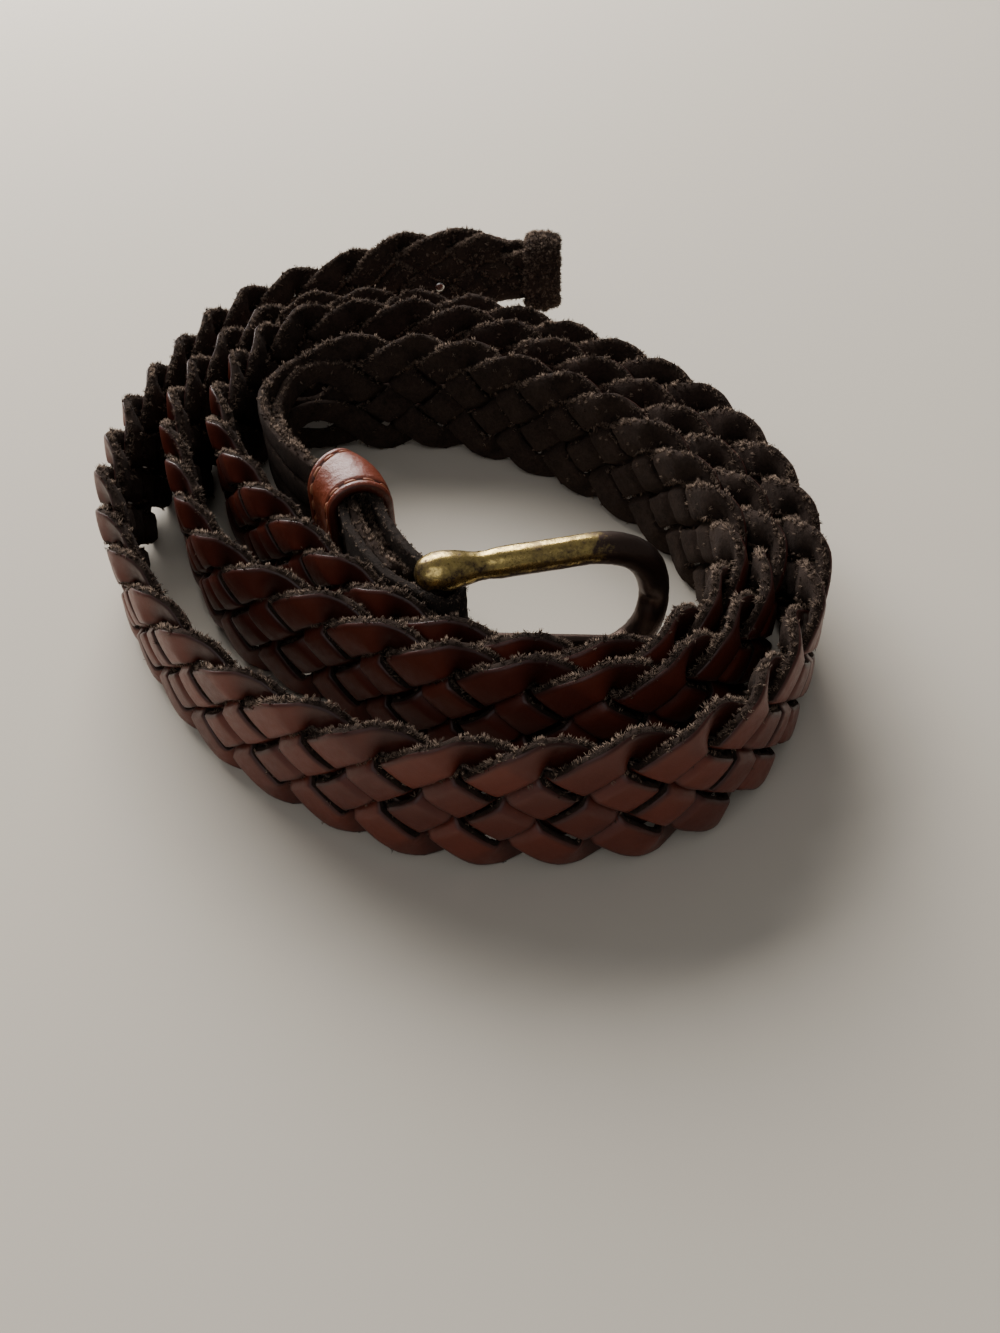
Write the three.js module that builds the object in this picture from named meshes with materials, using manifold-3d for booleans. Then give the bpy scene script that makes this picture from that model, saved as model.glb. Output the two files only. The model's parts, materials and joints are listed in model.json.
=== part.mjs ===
// Braided leather belt, coiled and standing on its edge.
// Five leather strips are plaited one over, one under. The outer end is drawn in under a
// leather wrap. At the inner end the strips run as laces through a keeper, into a strap
// folded round the bar of a horseshoe buckle with a prong.
// Millimetres, +Z up. The origin is on the ground under the middle of the coil.
import * as THREE from 'three';
import { mergeVertices } from 'three/addons/utils/BufferGeometryUtils.js';
import Module from 'manifold-3d';

// Braid
const BELT_WIDTH = 28;
const STRIP_THICKNESS = 2;
const STRIP_CLEARANCE = 0.4;
const LOOP_SPACING = 12.5;    // along the edge, from one loop of the braid to the next
const STRIP_FILL = 0.8;       // strip width as a share of the room between parallel strips
const STRIP_COUNT = 5;

// Coil
const COIL_RADIUS = 80;
const TURN_CLEARANCE = 0.6;

// Tail end
const WRAP_LENGTH = 8;
const TAIL_LENGTH = 50;       // from the wrap to the full width
const WRAP_WALL = 1.5;
const WRAP_CLEARANCE = 0.3;

// Buckle end
const LACE_RUN = 103;         // from the end of the plait to the buckle bar
const LACE_GAP = 0.4;         // between laces side by side in the strap
const STRAP_WIDTH = 18;
const STRAP_THICKNESS = 1.6;
const STRAP_LENGTH = 43;
const FIT_CLEARANCE = 0.3;
const KEEPER_LENGTH = 13;
const KEEPER_WALL = 1.8;
const KEEPER_FROM_BAR = 43.5;   // its far rim
const KEEPER_CROWN = 4.2;     // how far its arches rise above its straight sides
const BAR_RADIUS = 1.7;
const BULB_RADIUS = 3.5;
const ARM_RADIUS = 2.65;
const FRAME_REACH = 36.8;     // from the bar to the middle of the rounded end
const FRAME_CURVE = 13;       // how long its rounded end is
const FRAME_HEADING = 10.1;   // degrees, counterclockwise from +X, seen from above
const GROUND_GAP = 0.3;
const PRONG_HEIGHT = 3.6;
const PRONG_THICKNESS = 2.4;
const PRONG_OVERHANG = 2.2;   // past the middle of the rounded end
const PRONG_SWING = 7;       // degrees, away from the frame, as it hangs
const PRONG_DROOP = 4;        // at its tip
const EYE_WALL = 1.9;         // of the prong's loop round the bar
const SLOT_CLEARANCE = 0.7;
const SLOT_LENGTH = 9;        // from the bar into the strap

// Each turn of the coil, by the share of a turn counterclockwise from the back.
// first is the outer turn's radius. second and third are the free gaps to the next turns.
// All are shares of COIL_RADIUS.
const COIL = [
  { turn: 0 / 12, first: 1.050, second: 0.183, third: 0.005 },
  { turn: 1 / 12, first: 1.066, second: 0.073, third: 0.006 },
  { turn: 2 / 12, first: 0.894, second: 0.038, third: 0.056 },
  { turn: 3 / 12, first: 0.800, second: 0.112, third: 0.100 },
  { turn: 4 / 12, first: 0.750, second: 0.130, third: 0.108 },
  { turn: 5 / 12, first: 0.788, second: 0.200, third: 0.045 },
  { turn: 6 / 12, first: 0.881, second: 0.190, third: 0.012 },
  { turn: 7 / 12, first: 0.969, second: 0.106, third: 0.008 },
  { turn: 8 / 12, first: 0.882, second: 0.036, third: 0.015 },
  { turn: 9 / 12, first: 0.746, second: 0.044, third: 0.021 },
  { turn: 10 / 12, first: 0.678, second: 0.040, third: 0.038 },
  { turn: 11 / 12, first: 0.681, second: 0.028, third: 0.060 },
];
// Where the tail leaves the outer turn: its tip, before the back of the coil.
const TAIL_TIP = { turn: -0.049, reach: 1.081 };
// The inner end: the share of a turn past the back, and the free gap inside the third turn.
const INNER_END = [
  { turn: 0.000, gap: 0.125 },
  { turn: 0.042, gap: 0.144 },
  { turn: 0.076, gap: 0.138 },
  { turn: 0.108, gap: 0.069 },
  { turn: 0.135, gap: 0.058 },
  { turn: 0.156, gap: 0.094 },
  { turn: 0.186, gap: 0.142 },
  { turn: 0.219, gap: 0.158 },
  { turn: 0.274, gap: 0.144 },
  { turn: 0.386, gap: 0.075 },
  { turn: 0.454, gap: 0.060 },
  { turn: 0.497, gap: 0.053 },
];
// The tail, from its wrap: along is a share of TAIL_LENGTH, width and lift are shares of
// BELT_WIDTH, and thickness is a share of the plait's own.
const TAIL = [
  { along: 0.09, widthShare: 0.46, liftShare: 0.32, thicknessShare: 1.3 },
  { along: 0.20, widthShare: 0.70, liftShare: 0.33, thicknessShare: 1.3 },
  { along: 0.60, widthShare: 0.76, liftShare: 0.30, thicknessShare: 1.15 },
  { along: 0.88, widthShare: 1.00, liftShare: 0.06, thicknessShare: 1.0 },
  { along: 1.20, widthShare: 1.00, liftShare: 0.00, thicknessShare: 1.0 },
];
// The buckle's bulb ends, along the arm from the bar: shares of BULB_RADIUS.
const BULB = [
  { along: -1.36, radiusShare: 0.25 },
  { along: -1.15, radiusShare: 0.62 },
  { along: -0.70, radiusShare: 0.90 },
  { along: 0.00, radiusShare: 1.00 },
  { along: 0.85, radiusShare: 0.88 },
  { along: 1.65, radiusShare: 0.70 },
];
// The prong from the bar to its tip: shares of its length, height and thickness.
const PRONG = [
  { along: 0.00, heightShare: 1.00, thicknessShare: 0.75 },
  { along: 0.15, heightShare: 0.95, thicknessShare: 1.00 },
  { along: 0.80, heightShare: 0.85, thicknessShare: 1.00 },
  { along: 0.94, heightShare: 0.85, thicknessShare: 1.00 },
  { along: 0.985, heightShare: 0.65, thicknessShare: 0.80 },
  { along: 1.00, heightShare: 0.30, thicknessShare: 0.40 },
];

// The plait is a lattice of steps along the belt. A strip meets the others at steps 1 to 4
// and 6 to 9 of its ten, and turns back at the belt's edges at steps 0 and 5.
const LATTICE = 2 * STRIP_COUNT;
const FLAT_HALF = STRIP_FILL / 2;
const EDGE_TURN = 0.8;        // half the length of an edge loop, in steps
const EDGE_STATION = 0.4;
const CROSSING_DEPTH = (STRIP_THICKNESS + STRIP_CLEARANCE) / 2;
const BRAID_THICKNESS = 2 * CROSSING_DEPTH + STRIP_THICKNESS;
const TURN_PITCH = BRAID_THICKNESS + TURN_CLEARANCE;
const OUTER_LACES = Math.ceil(STRIP_COUNT / 2);
const LACE_PITCH = STRAP_WIDTH / OUTER_LACES;
const LACE_WIDTH = LACE_PITCH - LACE_GAP;
const LACE_FADE = 22;         // over which the laces come to lie level
const LACE_STEP = 5.5;
const LEG_OUT = BRAID_THICKNESS / 2 + FIT_CLEARANCE + STRAP_THICKNESS / 2;
const FOLD_OUT = BAR_RADIUS + FIT_CLEARANCE + STRAP_THICKNESS / 2;
const LEG_FADE = 9;           // over which the strap's legs close on the bar
const LACE_END = LEG_FADE + STRAP_THICKNESS;
const ARM_SPACING = STRAP_WIDTH + 2 * BULB_RADIUS + 2 * FIT_CLEARANCE;
const LOW_ARM_Z = BULB_RADIUS + GROUND_GAP;
const BUCKLE_MIDDLE_Z = LOW_ARM_Z + ARM_SPACING / 2;
const WIRE_SIDES = 8;
const FULL_TURN = 2 * Math.PI;

const LEATHER = { color: 0x7a3320, roughness: 0.45, metalness: 0 };
const SUEDE = { color: 0x4f4138, roughness: 0.9, metalness: 0 };
const BRASS = { color: 0x8c7340, roughness: 0.35, metalness: 0.9 };

const wasm = await Module();
wasm.setup();

function smooth(share) {
  const t = Math.min(Math.max(share, 0), 1);
  return t * t * (3 - 2 * t);
}

// A named column of a short table, read between its rows.
function readTable(rows, key, at, column) {
  let i = 0;
  while (i < rows.length - 2 && at > rows[i + 1][key]) i += 1;
  const a = rows[i];
  const b = rows[i + 1];
  const t = Math.min(Math.max((at - a[key]) / (b[key] - a[key]), 0), 1);
  return a[column] + (b[column] - a[column]) * t;
}

// Solids

// A solid through a row of rings of equal count, capped at its ends or closed on itself.
function loft(rings, closed = false) {
  const count = rings[0].length;
  const index = [];
  const spans = closed ? rings.length : rings.length - 1;
  for (let r = 0; r < spans; r += 1) {
    const a = r * count;
    const b = ((r + 1) % rings.length) * count;
    for (let i = 0; i < count; i += 1) {
      const j = (i + 1) % count;
      index.push(a + i, a + j, b + j, a + i, b + j, b + i);
    }
  }
  const far = (rings.length - 1) * count;
  for (let i = 1; i < count - 1 && !closed; i += 1) {
    index.push(0, i + 1, i, far, far + i, far + i + 1);
  }
  const geometry = new THREE.BufferGeometry().setFromPoints(rings.flat());
  geometry.setIndex(index);
  if (volumeOf(geometry) < 0) {
    geometry.setIndex(index.reverse());
  }
  return geometry;
}

function volumeOf(geometry) {
  const corner = [0, 1, 2].map(() => new THREE.Vector3());
  const { position } = geometry.attributes;
  let volume = 0;
  for (let i = 0; i < geometry.index.count; i += 3) {
    corner.forEach((p, c) => p.fromBufferAttribute(position, geometry.index.getX(i + c)));
    volume += corner[0].dot(corner[1].cross(corner[2])) / 6;
  }
  return volume;
}

function toSolid(geometry) {
  const bare = geometry.clone();
  bare.deleteAttribute('normal');
  bare.deleteAttribute('uv');
  const merged = mergeVertices(bare);
  return new wasm.Manifold(new wasm.Mesh({
    numProp: 3,
    vertProperties: merged.attributes.position.array,
    triVerts: new Uint32Array(merged.index.array),
  }));
}

function fromSolid(solid) {
  const { vertProperties, triVerts } = solid.getMesh();
  const geometry = new THREE.BufferGeometry();
  geometry.setAttribute('position', new THREE.BufferAttribute(vertProperties, 3));
  geometry.setIndex(new THREE.BufferAttribute(triVerts, 1));
  return geometry;
}

function namedMesh(name, geometry, finish) {
  const flat = geometry.toNonIndexed();
  flat.computeVertexNormals();
  const mesh = new THREE.Mesh(flat, new THREE.MeshStandardMaterial(finish));
  mesh.name = name;
  return mesh;
}

// The belt's middle line

function turnPoint(turn, radius) {
  const angle = FULL_TURN * (turn + 0.25);
  return new THREE.Vector3(radius * Math.cos(angle), radius * Math.sin(angle), 0);
}

// Radius of a turn, 0 to 2 from the outside in, anywhere between the table's rows.
function turnRadius(lap, turn) {
  const closed = [...COIL, { ...COIL[0], turn: 1 }];
  const read = (column) => readTable(closed, 'turn', turn, column) * COIL_RADIUS;
  let radius = read('first');
  if (lap > 0) radius -= TURN_PITCH + read('second');
  if (lap > 1) radius -= TURN_PITCH + read('third');
  return radius;
}

// Seen from above, from the tail's tip to the buckle bar.
function middleLine() {
  const points = [turnPoint(TAIL_TIP.turn, TAIL_TIP.reach * COIL_RADIUS)];
  for (const lap of [0, 1, 2]) {
    points.push(...COIL.map((row) => turnPoint(row.turn, turnRadius(lap, row.turn))));
  }
  for (const row of INNER_END) {
    const radius = turnRadius(2, row.turn) - TURN_PITCH - row.gap * COIL_RADIUS;
    points.push(turnPoint(row.turn, radius));
  }
  const line = new THREE.CatmullRomCurve3(points, false, 'centripetal');
  line.arcLengthDivisions = 4000;
  return line;
}

const line = middleLine();
const LENGTH = line.getLength();
const PLAIT_START = WRAP_WALL + WRAP_CLEARANCE;
const PLAIT_END = LENGTH - LACE_RUN;
const LOOPS = Math.round((PLAIT_END - PLAIT_START) / LOOP_SPACING);
const STEP = (PLAIT_END - PLAIT_START) / LOOPS / 2;

function tailShare(s, column) {
  return readTable(TAIL, 'along', (s - WRAP_LENGTH) / TAIL_LENGTH, column);
}

// How far the belt's middle is raised at a place along it.
function liftAt(s) {
  const tail = tailShare(s, 'liftShare') * BELT_WIDTH;
  const buckle = BUCKLE_MIDDLE_Z - BELT_WIDTH / 2;
  return tail + buckle * smooth((s - PLAIT_END) / (LACE_RUN / 2));
}

// From belt coordinates to space: along the belt, out of its face, and up from its middle.
function place(s, out, up) {
  const inside = Math.min(Math.max(s, 0), LENGTH);
  const point = line.getPointAt(inside / LENGTH);
  const along = line.getTangentAt(inside / LENGTH);
  const past = s - inside;
  return new THREE.Vector3(
    point.x + along.x * past + along.y * out,
    point.y + along.y * past - along.x * out,
    BELT_WIDTH / 2 + liftAt(s) + up,
  );
}

// The plait

// The slope and width of the strips, and how far their middle lines reach to each side.
function fillWidth() {
  let strip = STRIP_FILL * STEP;
  let reach = 0;
  let slope = 0;
  for (let pass = 0; pass < 30; pass += 1) {
    reach = (BELT_WIDTH - strip) / 2 / (1 - EDGE_TURN / STRIP_COUNT);
    slope = Math.atan(4 * reach / (LATTICE * STEP));
    strip = STRIP_FILL * 2 * STEP * Math.sin(slope);
  }
  return { reach, slope, strip };
}

const { reach: STRIP_REACH, slope: STRIP_SLOPE, strip: STRIP_WIDTH } = fillWidth();

// Where a strip's sections lie between two edge loops, and their depth there: 1 is over, on
// the belt's outer face, and -1 is under.
const STATIONS = [];
for (let crossing = 1; crossing < STRIP_COUNT; crossing += 1) {
  const depth = crossing % 2 === 0 ? 1 : -1;
  STATIONS.push({ at: crossing - FLAT_HALF, depth });
  STATIONS.push({ at: crossing + FLAT_HALF, depth });
}
STATIONS[0].at = EDGE_STATION;
STATIONS[STATIONS.length - 1].at = STRIP_COUNT - EDGE_STATION;

// One section of a strip in the plait: its upper and lower end, and its depth. It lies along
// the strips that cross it, so that neighbours never cut into each other.
function plaitSection(s, lattice) {
  const loop = Math.round(lattice / STRIP_COUNT);
  const x = lattice - loop * STRIP_COUNT;
  const side = loop % 2 === 0 ? 1 : -1;
  const inLoop = lattice - Math.floor(lattice / STRIP_COUNT) * STRIP_COUNT;
  const depth = readTable(
    [{ at: 0, depth: 0 }, ...STATIONS, { at: STRIP_COUNT, depth: 0 }], 'at', inLoop, 'depth',
  );
  const turning = Math.abs(x) < EDGE_TURN;
  const onEdge = Math.abs(x) < (EDGE_STATION + 1 - FLAT_HALF) / 2;
  const bend = turning ? (x * x + EDGE_TURN * EDGE_TURN) / (2 * EDGE_TURN) : Math.abs(x);
  const middle = STRIP_REACH * (1 - 2 / STRIP_COUNT * bend);
  const lean = Math.min(Math.max(x / (1 - FLAT_HALF), -1), 1);
  const half = STRIP_WIDTH / 2 / Math.sin(2 * STRIP_SLOPE);
  const along = half * Math.cos(STRIP_SLOPE) * lean;
  const up = STRIP_WIDTH / 2 + (half * Math.sin(STRIP_SLOPE) - STRIP_WIDTH / 2) * Math.abs(lean);
  return {
    s,
    along: along * side,
    high: side > 0 && onEdge ? BELT_WIDTH / 2 : side * middle + up,
    low: side < 0 && onEdge ? -BELT_WIDTH / 2 : side * middle - up,
    middle: side * middle,
    out: depth * CROSSING_DEPTH,
  };
}

// The four corners of a section, in space. The tail draws the whole plait in.
function sectionRing({ s, along, high, low, out }) {
  const corner = (at, off, up) => {
    const inside = Math.max(at, PLAIT_START);
    return place(inside, off * tailShare(inside, 'thicknessShare'), up * tailShare(inside, 'widthShare'));
  };
  const half = STRIP_THICKNESS / 2;
  return [
    corner(s + along, out + half, high),
    corner(s + along, out - half, high),
    corner(s - along, out - half, low),
    corner(s - along, out + half, low),
  ];
}

// The run of a strip past the plait: it settles on its own level and layer in the strap.
function laceSections(endSection, slope, rank) {
  const level = (rank.count - 1) / 2 - rank.index;
  const target = level * LACE_PITCH;
  const out = rank.layer * CROSSING_DEPTH;
  const from = endSection.middle;
  const startHalf = (endSection.high - endSection.low) / 2;
  const run = LACE_RUN - LACE_END;
  const steps = Math.round(run / LACE_STEP);
  const sections = [];
  for (let i = 1; i <= steps; i += 1) {
    const s = PLAIT_END + run * i / steps;
    const t = Math.min((s - endSection.s) / LACE_FADE, 1);
    const settle = smooth(t);
    const swing = slope * LACE_FADE * t * (1 - t) * (1 - t);
    const middle = from + (target - from) * settle + swing;
    const width = startHalf + (LACE_WIDTH / 2 - startHalf) * settle;
    sections.push({
      s,
      along: endSection.along * (1 - smooth(2 * t)),
      high: middle + width,
      low: middle - width,
      out,
    });
  }
  return sections;
}

function strand(number) {
  const first = 2 * number;
  const last = first + 2 * LOOPS;
  const sections = [];
  for (let loop = 0; loop * STRIP_COUNT < last; loop += 1) {
    for (const { at } of STATIONS) {
      const lattice = loop * STRIP_COUNT + at;
      if (lattice > first && lattice < last) {
        sections.push(plaitSection(PLAIT_START + (lattice - first) * STEP, lattice));
      }
    }
  }
  const atEnd = last % LATTICE;
  const goingDown = atEnd < STRIP_COUNT;
  const rank = goingDown
    ? { layer: 1, count: OUTER_LACES, index: atEnd / 2 }
    : { layer: -1, count: STRIP_COUNT - OUTER_LACES, index: (LATTICE - atEnd) / 2 - 1 };
  const fromEdge = Math.abs(atEnd + EDGE_STATION - STRIP_COUNT * Math.round(atEnd / STRIP_COUNT));
  const turned = Math.min(fromEdge / EDGE_TURN, 1);
  const slope = (goingDown ? -turned : turned) * Math.tan(STRIP_SLOPE);
  const end = plaitSection(PLAIT_END + EDGE_STATION * STEP, last + EDGE_STATION);
  end.out = rank.layer * CROSSING_DEPTH;
  sections.push(end, ...laceSections(end, slope, rank));
  return loft(sections.map(sectionRing));
}

// The ends

// A ring round the belt with rounded corners: radius out of its face, and rise upwards.
function roundedRing(s, halfOut, halfUp, radius, rise, steps) {
  const ring = [];
  for (let quarter = 0; quarter < 4; quarter += 1) {
    const outSide = quarter === 0 || quarter === 3 ? 1 : -1;
    const upSide = quarter < 2 ? 1 : -1;
    for (let i = 0; i <= steps; i += 1) {
      const angle = Math.PI / 2 * (quarter % 2 === 0 ? i : steps - i) / steps;
      const out = halfOut - radius * (1 - Math.cos(angle));
      const up = halfUp - rise * (1 - Math.sin(angle));
      ring.push(place(s, outSide * out, upSide * up));
    }
  }
  return ring;
}

function endWrap() {
  const tip = TAIL[0];
  const inOut = BRAID_THICKNESS / 2 * tip.thicknessShare + WRAP_CLEARANCE;
  const inUp = tip.widthShare * BELT_WIDTH / 2 + WRAP_CLEARANCE;
  const ring = (s, wall) => {
    const radius = wall + WRAP_CLEARANCE;
    return roundedRing(s, inOut + wall, inUp + wall, radius, radius, 2);
  };
  return loft([
    ring(0, WRAP_WALL / 3),
    ring(WRAP_WALL / 2, WRAP_WALL),
    ring(WRAP_LENGTH, WRAP_WALL),
    ring(WRAP_LENGTH, 0),
    ring(WRAP_WALL, 0),
  ]);
}

function keeper() {
  const steps = 3;
  const sag = Math.cos(Math.PI / 4 / steps);
  const legOut = LEG_OUT + STRAP_THICKNESS / 2;
  const inOut = legOut + FIT_CLEARANCE;
  const crown = KEEPER_CROWN;
  const cornerAngle = Math.acos((legOut + FIT_CLEARANCE / 2) / inOut);
  const inUp = STRAP_WIDTH / 2 + FIT_CLEARANCE + crown * (1 - sag * Math.sin(cornerAngle));
  const near = LENGTH - KEEPER_FROM_BAR;
  const far = near + KEEPER_LENGTH;
  const ring = (s, wall) => (
    roundedRing(s, inOut + wall, inUp + wall, inOut + wall, crown + wall, steps)
  );
  const stations = [0, 1, 2, 3].map((i) => near + (far - near) * i / 3);
  return loft([
    ...stations.map((s) => ring(s, KEEPER_WALL)),
    ...stations.reverse().map((s) => ring(s, 0)),
  ], true);
}

// The strap: a leg on each side of the laces, folded round the bar, slotted for the prong.
function buckleStrap(bar) {
  const rings = [];
  const half = STRAP_THICKNESS / 2;
  const legSteps = 10;
  const foldSteps = 6;
  const leg = (side, i) => {
    const s = LENGTH - STRAP_LENGTH * (1 - i / legSteps);
    const close = smooth((s - LENGTH + LEG_FADE + FOLD_OUT) / LEG_FADE);
    const out = side * (LEG_OUT + (FOLD_OUT - LEG_OUT) * close);
    return [
      place(s, out + side * half, STRAP_WIDTH / 2),
      place(s, out - side * half, STRAP_WIDTH / 2),
      place(s, out - side * half, -STRAP_WIDTH / 2),
      place(s, out + side * half, -STRAP_WIDTH / 2),
    ];
  };
  for (let i = 0; i <= legSteps; i += 1) rings.push(leg(1, i));
  for (let i = 1; i < foldSteps; i += 1) {
    const angle = Math.PI * i / foldSteps;
    const at = (radius, up) => (
      place(LENGTH + radius * Math.sin(angle), radius * Math.cos(angle), up)
    );
    const outer = FOLD_OUT + half;
    const inner = FOLD_OUT - half;
    rings.push([
      at(outer, STRAP_WIDTH / 2),
      at(inner, STRAP_WIDTH / 2),
      at(inner, -STRAP_WIDTH / 2),
      at(outer, -STRAP_WIDTH / 2),
    ]);
  }
  for (let i = legSteps; i >= 0; i -= 1) rings.push(leg(-1, i));
  const reach = SLOT_LENGTH + 2 * FOLD_OUT;
  const slot = new THREE.BoxGeometry(
    reach, 4 * FOLD_OUT, PRONG_HEIGHT + 2 * SLOT_CLEARANCE,
  );
  slot.translate(reach / 2 - SLOT_LENGTH, 0, 0);
  slot.rotateZ(bar.heading);
  slot.translate(bar.x, bar.y, BUCKLE_MIDDLE_Z);
  return fromSolid(toSolid(loft(rings)).subtract(toSolid(slot)));
}

// The buckle, along +X from its bar, which stands on the origin.

// Points round a wire of the given radius, at a place with its own two cross directions.
function wireRing(center, across, up, radiusAcross, radiusUp, sides = WIRE_SIDES) {
  const ring = [];
  for (let i = 0; i < sides; i += 1) {
    const angle = FULL_TURN * (i + 0.5) / sides;
    ring.push(center.clone()
      .addScaledVector(across, radiusAcross * Math.cos(angle))
      .addScaledVector(up, radiusUp * Math.sin(angle)));
  }
  return ring;
}

function buckleFrame() {
  const across = new THREE.Vector3(0, 1, 0);
  const half = ARM_SPACING / 2;
  const rings = [];
  const wire = (x, z, angle, radius) => {
    const up = new THREE.Vector3(-Math.sin(angle), 0, Math.cos(angle));
    rings.push(wireRing(new THREE.Vector3(x, 0, z), across, up, radius, radius));
  };
  const arm = (row, z, angle) => (
    wire(row.along * BULB_RADIUS, z, angle, row.radiusShare * BULB_RADIUS)
  );
  const curveSteps = 10;
  const straightEnd = FRAME_REACH - FRAME_CURVE;
  BULB.forEach((row) => arm(row, -half, 0));
  wire(straightEnd / 2, -half, 0, ARM_RADIUS);
  for (let i = 0; i <= curveSteps; i += 1) {
    const turn = Math.PI * i / curveSteps;
    const angle = Math.atan2(half * Math.sin(turn), FRAME_CURVE * Math.cos(turn));
    wire(straightEnd + FRAME_CURVE * Math.sin(turn), -half * Math.cos(turn), angle, ARM_RADIUS);
  }
  wire(straightEnd / 2, half, Math.PI, ARM_RADIUS);
  BULB.slice().reverse().forEach((row) => arm(row, half, Math.PI));
  const bar = new THREE.CylinderGeometry(BAR_RADIUS, BAR_RADIUS, ARM_SPACING, WIRE_SIDES);
  bar.rotateX(Math.PI / 2);
  return fromSolid(toSolid(loft(rings)).add(toSolid(bar)));
}

function prong() {
  const inner = BAR_RADIUS + FIT_CLEARANCE;
  const outer = inner + EYE_WALL;
  const eyeSides = 12;
  const eye = [outer, outer, inner, inner].map((radius, i) => {
    const z = (i === 0 || i === 3 ? -1 : 1) * PRONG_HEIGHT / 2;
    const ring = [];
    for (let k = 0; k < eyeSides; k += 1) {
      const angle = FULL_TURN * (k + 0.5) / eyeSides;
      ring.push(new THREE.Vector3(radius * Math.cos(angle), radius * Math.sin(angle), z));
    }
    return ring;
  });
  const start = -(inner + EYE_WALL / 2);
  const end = -(ARM_RADIUS + FIT_CLEARANCE + PRONG_THICKNESS / 2);
  const reach = FRAME_REACH + PRONG_OVERHANG;
  const across = new THREE.Vector3(0, 1, 0);
  const up = new THREE.Vector3(0, 0, 1);
  const shank = PRONG.map((row) => wireRing(
    new THREE.Vector3(reach * row.along, start + (end - start) * row.along, -PRONG_DROOP * row.along),
    across, up,
    PRONG_THICKNESS / 2 * row.thicknessShare, PRONG_HEIGHT / 2 * row.heightShare, 8,
  ));
  return fromSolid(toSolid(loft(eye, true)).add(toSolid(loft(shank))));
}

// The belt put together

const barPoint = place(LENGTH, 0, 0);
const barTangent = line.getTangentAt(1);
const bar = {
  x: barPoint.x,
  y: barPoint.y,
  heading: Math.atan2(barTangent.y, barTangent.x),
};

const belt = new THREE.Group();
for (let number = 0; number < STRIP_COUNT; number += 1) {
  belt.add(namedMesh(`strand_${number + 1}`, strand(number), LEATHER));
}
belt.add(namedMesh('end_wrap', endWrap(), LEATHER));
belt.add(namedMesh('keeper', keeper(), LEATHER));
belt.add(namedMesh('buckle_strap', buckleStrap(bar), SUEDE));

const buckle = new THREE.Group();
buckle.position.set(bar.x, bar.y, BUCKLE_MIDDLE_Z);
buckle.rotation.z = THREE.MathUtils.degToRad(FRAME_HEADING);
buckle.add(namedMesh('buckle_frame', buckleFrame(), BRASS));
const prongMesh = namedMesh('prong', prong(), BRASS);
prongMesh.rotation.z = -THREE.MathUtils.degToRad(PRONG_SWING);
buckle.add(prongMesh);
belt.add(buckle);

const box = new THREE.Box3().setFromObject(belt);
belt.position.set(-(box.min.x + box.max.x) / 2, -(box.min.y + box.max.y) / 2, -box.min.z);

export default belt;
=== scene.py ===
"""The looks of the coiled braided belt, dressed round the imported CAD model.

Lengths are in millimetres until a mesh is made, and metres in the scene. A place on the belt
is given by how far along it lies, out of its face, and up from its middle line.
"""

import json
import math

import bpy
import numpy as np
from mathutils import Matrix, Vector


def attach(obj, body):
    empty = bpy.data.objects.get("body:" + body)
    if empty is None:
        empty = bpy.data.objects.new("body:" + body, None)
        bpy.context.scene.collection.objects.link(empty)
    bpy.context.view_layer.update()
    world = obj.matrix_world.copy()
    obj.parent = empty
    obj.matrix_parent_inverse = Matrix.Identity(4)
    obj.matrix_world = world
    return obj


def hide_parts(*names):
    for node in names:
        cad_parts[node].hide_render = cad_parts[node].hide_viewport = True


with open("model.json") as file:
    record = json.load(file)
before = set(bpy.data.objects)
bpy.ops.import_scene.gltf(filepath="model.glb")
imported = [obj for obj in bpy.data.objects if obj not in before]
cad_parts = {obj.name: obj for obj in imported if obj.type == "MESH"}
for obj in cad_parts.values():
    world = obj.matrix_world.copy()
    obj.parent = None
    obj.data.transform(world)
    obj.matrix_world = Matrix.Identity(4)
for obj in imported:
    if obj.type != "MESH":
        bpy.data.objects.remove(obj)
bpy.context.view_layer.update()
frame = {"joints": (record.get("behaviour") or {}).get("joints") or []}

MM = 0.001
FULL_TURN = 2 * math.pi
RANDOM = np.random.default_rng(11)

# The driving sizes of the CAD model
BELT_WIDTH = 28
STRIP_THICKNESS = 2
STRIP_CLEARANCE = 0.4
LOOP_SPACING = 12.5
STRIP_FILL = 0.8
STRIP_COUNT = 5
COIL_RADIUS = 80
TURN_CLEARANCE = 0.6
WRAP_LENGTH = 8
TAIL_LENGTH = 50
WRAP_WALL = 1.5
WRAP_CLEARANCE = 0.3
LACE_RUN = 103
LACE_GAP = 0.4
STRAP_WIDTH = 18
STRAP_THICKNESS = 1.6
STRAP_LENGTH = 43
FIT_CLEARANCE = 0.3
KEEPER_LENGTH = 13
KEEPER_WALL = 1.8
KEEPER_FROM_BAR = 43.5
KEEPER_CROWN = 4.2
BAR_RADIUS = 1.7
BULB_RADIUS = 3.5
ARM_RADIUS = 2.65
FRAME_REACH = 36.8
FRAME_CURVE = 13
FRAME_HEADING = 10.1
GROUND_GAP = 0.3
PRONG_HEIGHT = 3.6
PRONG_THICKNESS = 2.4
PRONG_OVERHANG = 2.2
PRONG_SWING = 7
PRONG_DROOP = 4
EYE_WALL = 1.9
SLOT_CLEARANCE = 0.7
SLOT_LENGTH = 9

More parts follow.
